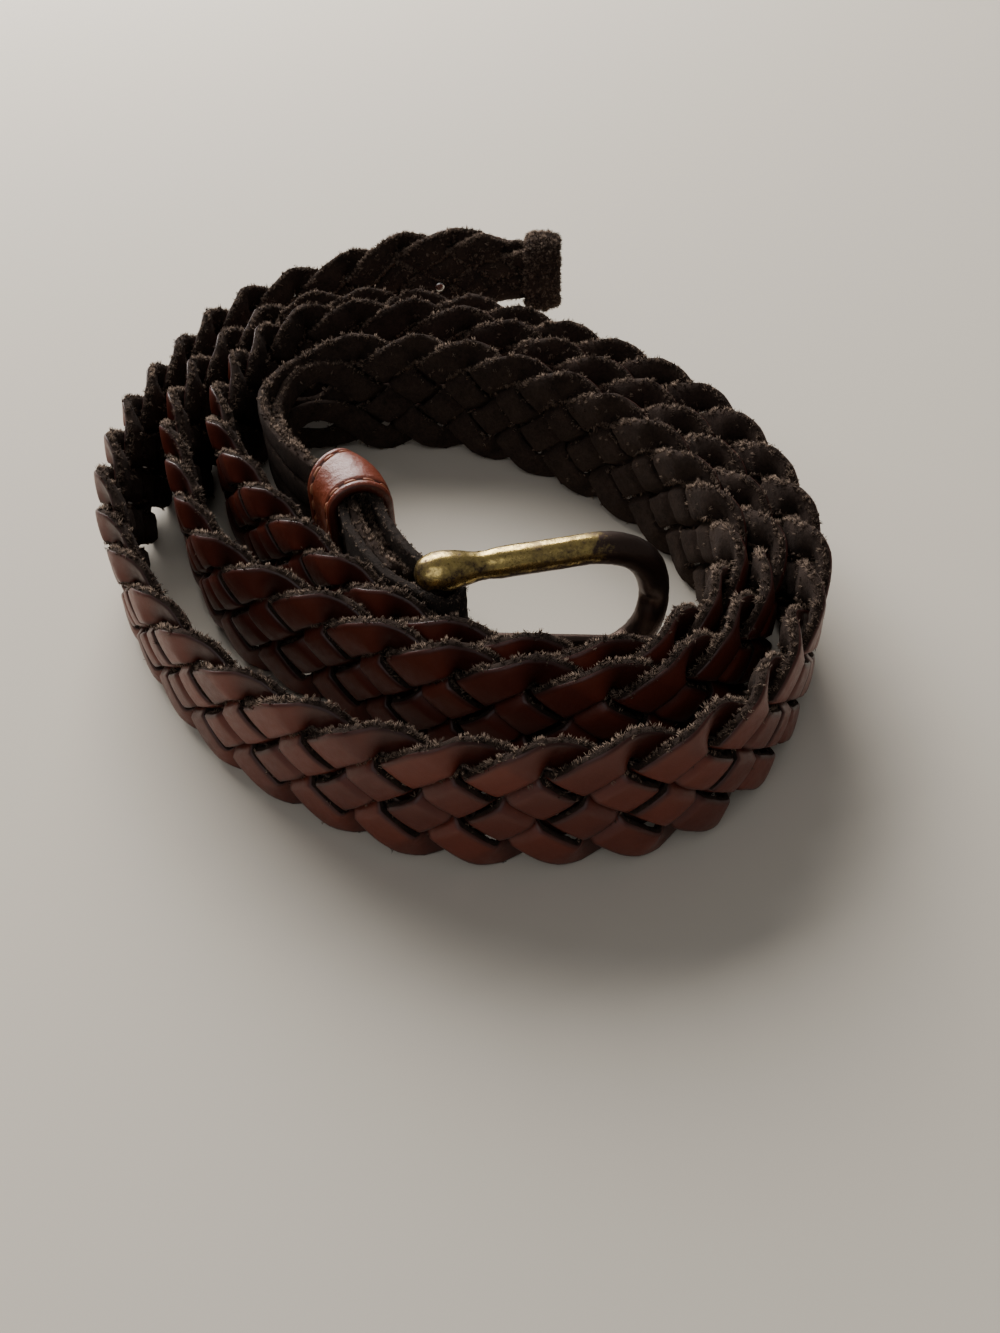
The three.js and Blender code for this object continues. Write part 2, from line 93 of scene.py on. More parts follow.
# Twelfths of a turn from the back: the outer turn's radius, then the free gaps to the next
# turns, as shares of COIL_RADIUS.
COIL = {
    "first": (1.050, 1.066, 0.894, 0.800, 0.750, 0.788, 0.881, 0.969, 0.882, 0.746, 0.678, 0.681),
    "second": (0.183, 0.073, 0.038, 0.112, 0.130, 0.200, 0.190, 0.106, 0.036, 0.044, 0.040, 0.028),
    "third": (0.005, 0.006, 0.056, 0.100, 0.108, 0.045, 0.012, 0.008, 0.015, 0.021, 0.038, 0.060),
}
TAIL_TIP = {"turn": -0.049, "reach": 1.081}
INNER_END = {
    "turn": (0.000, 0.042, 0.076, 0.108, 0.135, 0.156, 0.186, 0.219, 0.274, 0.386, 0.454, 0.497),
    "gap": (0.125, 0.144, 0.138, 0.069, 0.058, 0.094, 0.142, 0.158, 0.144, 0.075, 0.060, 0.053),
}
# Shares of TAIL_LENGTH, BELT_WIDTH, BELT_WIDTH and the plait's own thickness.
TAIL = {
    "along": (0.09, 0.20, 0.60, 0.88, 1.20),
    "width": (0.46, 0.70, 0.76, 1.00, 1.00),
    "lift": (0.32, 0.33, 0.30, 0.06, 0.00),
    "thickness": (1.3, 1.3, 1.15, 1.0, 1.0),
}
# The buckle's bulb ends, along the arm from the bar: shares of BULB_RADIUS.
BULB = {
    "along": (-1.40, -1.37, -1.28, -1.12, -0.85, -0.45, 0.00, 0.45, 0.85, 1.25, 1.65, 2.10),
    "radius": (0.00, 0.20, 0.45, 0.68, 0.86, 0.97, 1.00, 0.96, 0.88, 0.78, 0.70, 0.68),
}
# The prong from the bar to its tip: shares of its length, height and thickness.
PRONG = {
    "along": (0.00, 0.15, 0.50, 0.80, 0.94, 0.97, 0.99, 1.00),
    "height": (1.00, 0.95, 0.88, 0.86, 0.84, 0.72, 0.45, 0.10),
    "thickness": (0.75, 1.00, 1.00, 1.00, 1.00, 0.90, 0.55, 0.12),
}

EDGE_TURN = 0.8
EDGE_STATION = 0.4
CROSSING_DEPTH = (STRIP_THICKNESS + STRIP_CLEARANCE) / 2
BRAID_THICKNESS = 2 * CROSSING_DEPTH + STRIP_THICKNESS
TURN_PITCH = BRAID_THICKNESS + TURN_CLEARANCE
OUTER_LACES = math.ceil(STRIP_COUNT / 2)
LACE_PITCH = STRAP_WIDTH / OUTER_LACES
LACE_WIDTH = LACE_PITCH - LACE_GAP
LACE_FADE = 22
LEG_OUT = BRAID_THICKNESS / 2 + FIT_CLEARANCE + STRAP_THICKNESS / 2
FOLD_OUT = BAR_RADIUS + FIT_CLEARANCE + STRAP_THICKNESS / 2
LEG_FADE = 9
LACE_END = LEG_FADE + STRAP_THICKNESS
ARM_SPACING = STRAP_WIDTH + 2 * BULB_RADIUS + 2 * FIT_CLEARANCE
BUCKLE_MIDDLE_Z = BULB_RADIUS + GROUND_GAP + ARM_SPACING / 2


def smooth(share):
    t = np.clip(share, 0, 1)
    return t * t * (3 - 2 * t)


def ramp(value, start, over):
    """0 up to a start, then smoothly up to 1 over a stretch."""
    return smooth((value - start) / over)


def turns_of(count):
    """Even angles round a full turn."""
    return np.arange(count) * FULL_TURN / count


# The belt's middle line


def turn_point(turn, radius):
    angle = FULL_TURN * (turn + 0.25)
    return radius * math.cos(angle), radius * math.sin(angle)


def turn_radius(lap, turn):
    """Radius of a turn, 0 to 2 from the outside in, at a share of a turn from the back."""

    def read(column):
        values = COIL[column] + COIL[column][:1]
        return np.interp(turn * 12, range(13), values) * COIL_RADIUS

    radius = read("first")
    if lap > 0:
        radius -= TURN_PITCH + read("second")
    if lap > 1:
        radius -= TURN_PITCH + read("third")
    return float(radius)


def through_points(points, per_span=400):
    """A centripetal Catmull-Rom curve through points."""
    p = np.array(points)
    p = np.vstack([2 * p[0] - p[1], p, 2 * p[-1] - p[-2]])
    t = np.arange(per_span)[:, None] / per_span
    spans = []
    for x0, x1, x2, x3 in zip(p, p[1:], p[2:], p[3:]):
        d0, d1, d2 = (math.sqrt(math.dist(a, b)) for a, b in ((x0, x1), (x1, x2), (x2, x3)))
        t1 = d1 * ((x1 - x0) / d0 - (x2 - x0) / (d0 + d1) + (x2 - x1) / d1)
        t2 = d1 * ((x2 - x1) / d1 - (x3 - x1) / (d1 + d2) + (x3 - x2) / d2)
        c2 = 3 * (x2 - x1) - 2 * t1 - t2
        c3 = 2 * (x1 - x2) + t1 + t2
        spans.append(x1 + t1 * t + c2 * t**2 + c3 * t**3)
    return np.vstack([*spans, p[-2:-1]])


def middle_line():
    points = [turn_point(TAIL_TIP["turn"], TAIL_TIP["reach"] * COIL_RADIUS)]
    for lap in range(3):
        points += [turn_point(i / 12, turn_radius(lap, i / 12)) for i in range(12)]
    for turn, gap in zip(INNER_END["turn"], INNER_END["gap"]):
        points.append(turn_point(turn, turn_radius(2, turn) - TURN_PITCH - gap * COIL_RADIUS))
    return through_points(points)


LINE = middle_line()
LINE_S = np.concatenate([[0], np.cumsum(np.linalg.norm(np.diff(LINE, axis=0), axis=1))])
LINE_T = np.gradient(LINE, LINE_S, axis=0)
LINE_T /= np.linalg.norm(LINE_T, axis=1)[:, None]
LENGTH = LINE_S[-1]
PLAIT_START = WRAP_WALL + WRAP_CLEARANCE
PLAIT_END = LENGTH - LACE_RUN
LOOPS = round((PLAIT_END - PLAIT_START) / LOOP_SPACING)
STEP = (PLAIT_END - PLAIT_START) / LOOPS / 2
BAR = np.array(frame["joints"][0]["pos_m"]) / MM
SHIFT = BAR[:2] - LINE[-1]


def tail_share(s, column):
    return np.interp((s - WRAP_LENGTH) / TAIL_LENGTH, TAIL["along"], TAIL[column])


def lift_at(s):
    """How far the belt's middle is raised at a place along it."""
    buckle = BUCKLE_MIDDLE_Z - BELT_WIDTH / 2
    tail = tail_share(s, "lift") * BELT_WIDTH
    return tail + buckle * ramp(s, PLAIT_END, LACE_RUN / 2)


def place(s, out, up):
    """Belt coordinates, arrays of one shape, to points in space."""
    s, out, up = np.broadcast_arrays(s, out, up)
    inside = np.clip(s, 0, LENGTH)
    past = s - inside
    x, y = (np.interp(inside, LINE_S, LINE[:, i]) for i in range(2))
    tx, ty = (np.interp(inside, LINE_S, LINE_T[:, i]) for i in range(2))
    return np.stack(
        [
            x + tx * past + ty * out + SHIFT[0],
            y + ty * past - tx * out + SHIFT[1],
            BELT_WIDTH / 2 + lift_at(s) + up,
        ],
        axis=-1,
    )


# Meshes


def make_object(name, points, faces, materials, attributes=None, slots=None):
    """A smooth-shaded object from points in millimetres."""
    mesh = bpy.data.meshes.new(name)
    mesh.from_pydata((np.asarray(points) * MM).tolist(), [], faces)
    for material in materials:
        mesh.materials.append(material)
    if slots is not None:
        mesh.polygons.foreach_set("material_index", slots)
    for key, values in (attributes or {}).items():
        layer = mesh.attributes.new(key, "FLOAT", "POINT")
        layer.data.foreach_set("value", np.asarray(values, dtype=np.float32))
    mesh.polygons.foreach_set("use_smooth", [True] * len(faces))
    mesh.update()
    obj = bpy.data.objects.new(name, mesh)
    bpy.context.scene.collection.objects.link(obj)
    return obj


def loft_faces(rings, sides, closed=False):
    """Quads between rings, which run counterclockwise about the way they follow, and caps."""
    faces = []
    for r in range(rings if closed else rings - 1):
        a, b = r * sides, (r + 1) % rings * sides
        for i in range(sides):
            j = (i + 1) % sides
            faces.append((a + i, a + j, b + j, b + i))
    if not closed:
        faces.append(tuple(range(sides - 1, -1, -1)))
        faces.append(tuple(range((rings - 1) * sides, rings * sides)))
    return faces


def volume_of(points, faces):
    """Six times the volume inside the faces, negative where they face inwards."""
    total = 0.0
    for face in faces:
        a = points[face[0]]
        for b, c in zip(face[1:], face[2:]):
            total += np.dot(a, np.cross(points[b], points[c]))
    return total


def loft(name, rings, materials, closed=False, attributes=None):
    """A solid through rings of points, an array of (ring, side, 3)."""
    rings = np.asarray(rings)
    count, sides = rings.shape[:2]
    points = rings.reshape(-1, 3)
    faces = loft_faces(count, sides, closed)
    if volume_of(points - points.mean(axis=0), faces) < 0:
        faces = [face[::-1] for face in faces]
    return make_object(name, points, faces, materials, attributes)


def dress(obj, body, slot, *nodes):
    """Gives a piece its body and hides the nodes that it stands for; the slot argument is not
    used.
    """
    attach(obj, body)
    if nodes:
        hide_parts(*nodes)
    return obj


# Materials


class Material:
    """A material with a Principled shader, and short calls for the nodes that feed it."""

    def __init__(self, name, **values):
        self.data = bpy.data.materials.new(name)
        self.data.use_nodes = True
        self.tree = self.data.node_tree
        self.shader = self.tree.nodes["Principled BSDF"]
        self.place = self.node("ShaderNodeTexCoord").outputs["Object"]
        for key, value in values.items():
            self.shader.inputs[key.replace("_", " ")].default_value = value

    def node(self, kind, inputs=None, **settings):
        made = self.tree.nodes.new(kind)
        for key, value in settings.items():
            setattr(made, key, value)
        for key, value in (inputs or {}).items():
            self.feed(made.inputs[key], value)
        return made

    def feed(self, socket, value):
        if isinstance(value, bpy.types.NodeSocket):
            self.tree.links.new(value, socket)
        else:
            socket.default_value = value

    def set(self, **links):
        for key, value in links.items():
            self.feed(self.shader.inputs[key.replace("_", " ")], value)

    def noise(self, size, detail=3.0, roughness=0.6):
        """Noise from 0 to 1 with features of a size in millimetres."""
        made = self.node("ShaderNodeTexNoise", {
            "Vector": self.place, "Scale": 1 / (size * MM), "Detail": detail,
            "Roughness": roughness,
        })
        return made.outputs["Fac"]

    def cells(self, size):
        """The distance to the walls between cells of a size in millimetres."""
        made = self.node(
            "ShaderNodeTexVoronoi", {"Vector": self.place, "Scale": 1 / (size * MM)},
            feature="DISTANCE_TO_EDGE",
        )
        return made.outputs["Distance"]

    def attribute(self, name):
        return self.node("ShaderNodeAttribute", attribute_name=name).outputs["Fac"]

    def math(self, operation, *values, clamp=False):
        return self.node(
            "ShaderNodeMath", dict(enumerate(values)), operation=operation, use_clamp=clamp,
        ).outputs[0]

    def span(self, value, low, high, to_low=0.0, to_high=1.0):
        """A value from low to high turned into one from to_low to to_high, and held there."""
        return self.node("ShaderNodeMapRange", {
            "Value": value, "From Min": low, "From Max": high, "To Min": to_low, "To Max": to_high,
        }, clamp=True).outputs[0]

    def mix(self, share, a, b):
        """Colour a where the share is 0, and b where it is 1."""
        made = self.node("ShaderNodeMix", data_type="RGBA")
        self.feed(made.inputs["Factor"], share)
        for socket, value in zip([s for s in made.inputs if s.type == "RGBA"], (a, b)):
            self.feed(socket, value if isinstance(value, bpy.types.NodeSocket) else (*value, 1.0))
        return [s for s in made.outputs if s.type == "RGBA"][0]

    def bump(self, height, depth, strength, under=None):
        """Relief of a depth in millimetres, on top of the relief under it."""
        inputs = {"Height": height, "Distance": depth * MM, "Strength": strength}
        if under:
            inputs["Normal"] = under
        return self.node("ShaderNodeBump", inputs).outputs["Normal"]


GRAIN_EDGE_DARK_AND_SHADE = 0.35    # of the dark colour: the dark of a cut edge, and painted shade where a strip dives under the others
GRAIN_WORN = 1.8      # of the light colour, where it is scuffed


def grain_leather(name, dark, light, roughness, coat=0.0, relief=1.0):
    """The smooth face of the leather, darker along its cut edges, with painted shade where it
    dives under the others.
    """
    m = Material(name, Specular_IOR_Level=0.5, Coat_Weight=coat, Coat_Roughness=0.3)
    shade = tuple(c * GRAIN_EDGE_DARK_AND_SHADE for c in dark)
    worn = tuple(min(1.0, c * GRAIN_WORN) for c in light)
    cloud = m.math("MULTIPLY_ADD", m.noise(5.0, 4.0), 0.7, -0.1)
    share = m.math("ADD", cloud, m.math("MULTIPLY", m.attribute("tone"), 0.5), clamp=True)
    # The edge attribute darkens the cut edges, and on the keeper also paints shade into its seam
    # grooves and inside it.
    edge = m.span(m.attribute("edge"), 0.72, 1.0, 0.0, 0.8)
    # The dive attribute paints shade where a strip lies under the others, and inside the keeper.
    dive = m.span(m.attribute("dive"), 0.25, 0.9, 0.0, 0.75)
    scuff = m.span(m.noise(0.8, 5.0, 0.7), 0.62, 0.8, 0.0, 0.35)
    color = m.mix(share, dark, light)
    color = m.mix(edge, color, shade)
    # Painted shade where the dive attribute says.
    color = m.mix(dive, color, shade)
    color = m.mix(scuff, color, worn)
    creases = m.bump(m.noise(2.0, 3.0), 0.12 * relief, 0.6)
    pores = m.bump(m.cells(0.5), 0.03 * relief, 0.35, under=creases)
    m.set(
        Base_Color=color,
        Roughness=m.span(m.noise(1.5, 4.0), 0.3, 0.7, roughness - 0.07, roughness + 0.1),
        Normal=m.bump(m.noise(0.22, 3.0), 0.03 * relief, 0.6, under=pores),
    )
    return m.data


def suede(name, dark, light):
    """The rough flesh side and the cut edges."""
    m = Material(name, Roughness=0.95, Specular_IOR_Level=0.15, Sheen_Weight=0.05,
                 Sheen_Roughness=0.5, Sheen_Tint=(0.7, 0.5, 0.4, 1.0))
    nap = m.noise(0.7, 5.0, 0.75)
    cloud = m.noise(4.0, 3.0)
    share = m.math("ADD", m.math("MULTIPLY", nap, 0.75), m.math("MULTIPLY", cloud, 0.55))
    m.set(
        Base_Color=m.mix(m.span(share, 0.42, 0.95), dark, light),
        Normal=m.bump(m.noise(0.35, 4.0, 0.8), 0.25, 0.9, under=m.bump(nap, 0.3, 0.7)),
    )
    return m.data


def fibre_material():
    """Each tuft of fibres has its own tone, from dark brown to pale grey-brown; the pale end is
    partly the fibres' own lighter colour and partly painted sheen of fibres catching the light.
    """
    m = Material("fibres", Roughness=0.9, Specular_IOR_Level=0.2)
    pale = m.span(m.attribute("tone"), 0.25, 1.0)
    # Painted sheen is part of the pale colour, for fibres that catch the light.
    m.set(Base_Color=m.mix(pale, (0.055, 0.035, 0.026), (0.34, 0.245, 0.18)))
    return m.data


def brass_material():
    """Worn brass, flecked, dark with tarnish in blotches and where its patina attribute says; on
    the frame that attribute also holds painted shade.
    """
    m = Material("aged_brass", Metallic=1.0, Specular_IOR_Level=0.5)
    blotch = m.noise(3.0, 7.0, 0.75)
    pits = m.noise(0.5, 4.0, 0.7)
    share = m.math("ADD", m.attribute("patina_and_shade"), m.math("MULTIPLY", blotch, 1.1))
    share = m.span(m.math("ADD", share, m.math("MULTIPLY", pits, 0.25)), 0.58, 0.84)
    fleck = m.span(pits, 0.58, 0.70, 0.0, 0.8)
    color = m.mix(share, (0.76, 0.56, 0.19), (0.085, 0.056, 0.046))
    dull = m.span(share, 0.0, 1.0, 0.2, 0.4)
    m.set(
        Base_Color=m.mix(fleck, color, (0.06, 0.042, 0.028)),
        Roughness=m.math("ADD", dull, m.math("MULTIPLY", fleck, 0.15)),
        Normal=m.bump(pits, 0.03, 0.4, under=m.bump(m.noise(2.5, 3.0), 0.2, 0.4)),
    )
    return m.data


def plain_material(name, color, roughness, metallic=0.0):
    return Material(
        name, Base_Color=(*color, 1.0), Roughness=roughness, Metallic=metallic,
    ).data


STRIP_GRAIN = grain_leather("strip_grain", (0.072, 0.012, 0.006), (0.168, 0.031, 0.014), 0.42)
KEEPER_GRAIN = grain_leather(
    "keeper_grain", (0.15, 0.026, 0.011), (0.30, 0.066, 0.028), 0.34, coat=0.25, relief=5.0,
)
STRIP_SUEDE = suede("strip_suede", (0.010, 0.006, 0.0045), (0.075, 0.048, 0.036))
STRAP_SUEDE = suede("strap_suede", (0.008, 0.006, 0.005), (0.055, 0.040, 0.033))
FIBRES = fibre_material()
BRASS = brass_material()
THREAD = plain_material("keeper_thread", (0.42, 0.16, 0.08), 0.5)
RIVET = plain_material("tail_rivet", (0.55, 0.53, 0.50), 0.25, metallic=1.0)


# The strips

# The outline of a strip's section, from its high corner down the grain face and back up the
# flesh side: its place across the strip from -1 to 1, and its place out of the face.
HALF_THICKNESS = STRIP_THICKNESS / 2
GRAIN_ACROSS = (1.0, 0.93, 0.8, 0.4, 0.0, -0.4, -0.8, -0.93, -1.0)
GRAIN_DROP = (0.38, 0.10, 0.02, 0.0, 0.0, 0.0, 0.02, 0.10, 0.38)
FLESH_ACROSS = (-0.96, -0.8, -0.4, 0.0, 0.4, 0.8, 0.96)
FLESH_DROP = (0.42, 0.14, 0.02, 0.0, 0.02, 0.14, 0.42)
CUT_ACROSS = 1.04     # the middle of a cut edge
CUT_LEVEL = -0.15
ACROSS = np.array(GRAIN_ACROSS + (-CUT_ACROSS,) + FLESH_ACROSS + (CUT_ACROSS,))
OUTLINE = np.concatenate([
    HALF_THICKNESS - np.array(GRAIN_DROP), [CUT_LEVEL],
    np.array(FLESH_DROP) - HALF_THICKNESS, [CUT_LEVEL],
])
EDGE_ACROSS = 0.9     # beyond this a point is part of an edge
FLESH_LEVEL = -0.5    # below this a point is part of the flesh side
GRAIN_COUNT = len(GRAIN_ACROSS)
RING = len(ACROSS)
LOW_EDGE = GRAIN_COUNT
HIGH_EDGE = RING - 1
BULGE = 0.17          # of both faces, in the middle of the strip
CROWN = 0.40          # of a strip between two crossings
DIVE_HALF = 0.14      # half the length over which a strip dives, in steps
LOOP_DIVE_HALF = 0.45    # the same, at the belt's edges
FINE = 8              # sections a step
LEAN_STEPS = 0.8      # over which a section comes to lie along the strips that cross it
NAP = 0.10            # roughness of the flesh side
EDGE_NAP = 0.22       # roughness of the cut edges
FLOOR_CLEARANCE = 0.05
TAIL_FILL = 0.22      # how much fuller the strips are drawn in the tail
TAIL_FILL_END = 0.55  # where that starts to fade, as a share of TAIL_LENGTH
TAIL_FILL_FADE = 14
# How a strip strays from its true shape: a value every so many millimetres, and how large.
EDGE_WANDER = (2.2, 0.10)
FACE_WANDER = (9.0, 0.10)
TILT_WANDER = (7.0, 0.10)


def strip_sizes():
    """How far the strips' middle lines reach to each side, their slope and their width."""
    strip = STRIP_FILL * STEP
    for _ in range(30):
        reach = (BELT_WIDTH - strip) / 2 / (1 - EDGE_TURN / STRIP_COUNT)
        slope = math.atan(4 * reach / (2 * STRIP_COUNT * STEP))
        strip = STRIP_FILL * 2 * STEP * math.sin(slope)
    return reach, slope, strip


STRIP_REACH, STRIP_SLOPE, STRIP_WIDTH = strip_sizes()


def dive(c, at, half):
    """From 0 to 1 round a place along the strip."""
    return smooth((c - at + half) / (2 * half))


def depth_at(lattice):
    """1 where the strip is over, on the outer face, and -1 where it is under.

    It dives half way between its crossings, which are at steps 1 to 4 of its five.
    """
    c = lattice % STRIP_COUNT
    over = dive(c, 1.5, DIVE_HALF) - dive(c, 2.5, DIVE_HALF) + dive(c, 3.5, DIVE_HALF)
    over += 1 - dive(c, 0, LOOP_DIVE_HALF) - dive(c, STRIP_COUNT, LOOP_DIVE_HALF)
    return 2 * over - 1


def crown_at(lattice):
    """How far the strip arches out between two dives: 1 is outwards, and -1 inwards."""
    c = lattice % STRIP_COUNT
    crown = np.zeros_like(c)
    for start, end, sign in ((0, 1.5, -1), (1.5, 2.5, 1), (2.5, 3.5, -1), (3.5, 5, 1)):
        inside = (c >= start) & (c <= end)
        crown += inside * sign * np.sin(math.pi * (c - start) / (end - start))
    return crown


def wander(at, spacing, amount):
    """Smooth noise along a line, with a value every spacing."""
    span = at.max() - at.min()
    values = RANDOM.normal(0, amount, int(span / spacing) + 3)
    u = (at - at.min()) / spacing
    low = np.floor(u).astype(int)
    t = smooth(u - low)
    return values[low] * (1 - t) + values[low + 1] * t


def plait_sections(lattice, first):
    """Middle place, lean, height, half height and depth of a strip's sections."""
    loop = np.floor(lattice / STRIP_COUNT + 0.5)
    x = lattice - loop * STRIP_COUNT
    side = np.where(loop % 2 == 0, 1.0, -1.0)
    far = np.abs(x)
    bend = np.where(far < EDGE_TURN, (x * x + EDGE_TURN**2) / (2 * EDGE_TURN), far)
    lean = np.sin(np.clip(x / LEAN_STEPS, -1, 1) * math.pi / 2)
    half = STRIP_WIDTH / 2 / math.sin(2 * STRIP_SLOPE)
    return {
        "s": PLAIT_START + (lattice - first) * STEP,
        "along": half * math.cos(STRIP_SLOPE) * lean * side,
        "middle": side * STRIP_REACH * (1 - 2 / STRIP_COUNT * bend),
        "up": STRIP_WIDTH / 2 + (half * math.sin(STRIP_SLOPE) - STRIP_WIDTH / 2) * np.abs(lean),
        "depth": depth_at(lattice) + CROWN / CROSSING_DEPTH * crown_at(lattice),
    }


def lace_sections(end, slope, level, layer):
    """The run of a strip past the plait, from its last section there."""
    run = LACE_RUN - LACE_END
    s = np.linspace(end["s"], PLAIT_END + run, round(run - EDGE_STATION * STEP))[1:]
    t = np.minimum((s - end["s"]) / LACE_FADE, 1)
    settle = smooth(t)
    swing = slope * LACE_FADE * t * (1 - t) ** 2
    return {
        "s": s,
        "along": end["along"] * (1 - smooth(2 * t)),
        "middle": end["middle"] + (level * LACE_PITCH - end["middle"]) * settle + swing,
        "up": end["up"] + (LACE_WIDTH / 2 - end["up"]) * settle,
        "depth": np.full_like(s, layer),
    }


def strip_sections(number):
    """A strip's sections in a row, their lattice places, and how many lie in the plait."""
    first = 2 * number
    last = first + 2 * LOOPS
    lattice = np.arange(first * FINE, round((last + EDGE_STATION) * FINE) + 1) / FINE
    lattice[-1] = last + EDGE_STATION
    plait = plait_sections(lattice, first)
    at_end = last % (2 * STRIP_COUNT)
    going_down = at_end < STRIP_COUNT
    if going_down:
        layer, level = 1, (OUTER_LACES - 1) / 2 - at_end / 2
    else:
        inner = STRIP_COUNT - OUTER_LACES
        layer, level = -1, (inner - 1) / 2 - ((2 * STRIP_COUNT - at_end) / 2 - 1)
    join = smooth((lattice - last + EDGE_STATION) / (2 * EDGE_STATION))
    plait["depth"] = plait["depth"] * (1 - join) + layer * join
    from_edge = abs(at_end + EDGE_STATION - STRIP_COUNT * math.floor(at_end / STRIP_COUNT + 0.5))
    turned = min(from_edge / EDGE_TURN, 1)
    slope = (-turned if going_down else turned) * math.tan(STRIP_SLOPE)
    end = {key: values[-1] for key, values in plait.items()}
    lace = lace_sections(end, slope, level, layer)
    sections = {key: np.concatenate([plait[key], lace[key]]) for key in plait}
    beyond = last + (lace["s"] - PLAIT_END) / STEP
    return sections, np.concatenate([lattice, beyond]), len(lattice)


def strip_points(sections, lattice):
    """The rings of a strip in space, roughened, and their attributes."""
    count = len(lattice)
    s, along, middle, up, depth = (
        sections[key][:, None] for key in ("s", "along", "middle", "up", "depth")
    )
    wide = ACROSS[None, :] * np.ones((count, 1))
    path = sections["s"]
    high = (ACROSS > EDGE_ACROSS)[None, :]
    low = (ACROSS < -EDGE_ACROSS)[None, :]
    edge = high * wander(path, *EDGE_WANDER)[:, None]
    edge = edge - low * wander(path, *EDGE_WANDER)[:, None]
    out = depth * CROSSING_DEPTH + OUTLINE[None, :]
    out = out + np.sign(OUTLINE)[None, :] * BULGE * (1 - wide**2).clip(0)
    out = out + wander(path, *FACE_WANDER)[:, None]
    tilt = wander(path, *TILT_WANDER)[:, None] * wide
    flesh = (OUTLINE < FLESH_LEVEL)[None, :]
    nap = RANDOM.normal(0, NAP, (count, RING)) * flesh
    rim = np.zeros((1, RING))
    rim[0, [LOW_EDGE, HIGH_EDGE]] = 1
    fray = RANDOM.normal(0, EDGE_NAP, (count, RING)) * rim
    fade = smooth((s - WRAP_LENGTH - TAIL_FILL_END * TAIL_LENGTH) / TAIL_FILL_FADE)
    fill = 1 + TAIL_FILL * (1 - fade)
    at = s + along * wide * fill
    inside = np.maximum(at, PLAIT_START)
    out = (out + tilt + nap) * tail_share(inside, "thickness")
    spread = np.clip(middle + up * wide * fill, -BELT_WIDTH / 2, BELT_WIDTH / 2)
    rise = (spread + edge + fray * np.sign(wide)) * tail_share(inside, "width")
    points = place(inside, out, rise)
    points[..., 2] = np.maximum(points[..., 2], FLOOR_CLEARANCE)
    crossing = np.floor(lattice + 0.5).astype(int)
    tones = RANDOM.uniform(0, 1, crossing.max() + 2)
    attributes = {
        "edge": np.abs(wide).ravel(),
        "tone": np.repeat(tones[crossing], RING),
        # How far the strip lies under the others, which the grain material darkens as painted
        # shade.
        "dive": np.repeat(np.clip((1 - sections["depth"]) / 2, 0, 1), RING),
    }
    return points, attributes


def make_strip(number):
    """One strip, grain on its outer face in the plait, and suede on the rest."""
    sections, lattice, plait = strip_sections(number)
    points, attributes = strip_points(sections, lattice)
    count = len(lattice)
    faces = loft_faces(count, RING)
    slots = np.ones(len(faces), dtype=np.int32)
    grain = np.arange(RING) < GRAIN_COUNT - 1
    slots[: (plait - 1) * RING] = np.tile(np.where(grain, 0, 1), plait - 1)
    obj = make_object(
        f"strand_{number + 1}_leather", points.reshape(-1, 3), faces,
        [STRIP_GRAIN, STRIP_SUEDE], attributes, slots,
    )
    dress(obj, "belt", "strip_leather", f"strand_{number + 1}")
    return obj, points, sections


# Fuzz


def ring_normals(obj, shape):
    """A lofted object's vertex normals, by ring and side."""
    normals = np.empty(len(obj.data.vertices) * 3, dtype=np.float32)
    obj.data.vertex_normals.foreach_get("vector", normals)
    return normals.reshape(*shape, 3)


def sample_fuzz(points, normals, weights, count):
    """Random places on a lofted surface: weights has one value for each ring point."""
    rings, sides = points.shape[:2]
    chance = weights[:-1].ravel()
    picked = RANDOM.choice(len(chance), size=count, p=chance / chance.sum())
    r, j = picked // sides, picked % sides
    k = (j + RANDOM.choice([-1, 0, 1], size=count)) % sides
    a, b = RANDOM.uniform(0, 1, (2, count, 1))
    base = (points[r, j] * (1 - a) + points[r + 1, j] * a) * (1 - b / 2) + points[r, k] * b / 2
    out = normals[r, j] * (1 - a) + normals[r + 1, j] * a
    return base, out


FIBRE_LENGTH = (0.4, 1.3)
FIBRE_RADIUS = 0.10
FIBRE_LEAN = 0.7      # sideways, for each length outwards
FIBRE_ROOT = 0.12     # how deep it starts under the surface
LENGTH_SPREAD = (1.6, 2.6)    # of the beta curve that tufts take their lengths from
LENGTH_IN_TUFT = (0.6, 1.0)   # a fibre's length as a share of its tuft's
TUFT = 5              # fibres that lean together
TUFT_SPREAD = 0.21
TUFT_STRAY = 0.5      # of a fibre's lean from its tuft's
TUFT_TONE = 0.75      # the tuft's part of a fibre's tone, with the fibre's own as the rest
FUZZ_CLEARANCE = 0.02    # over the floor


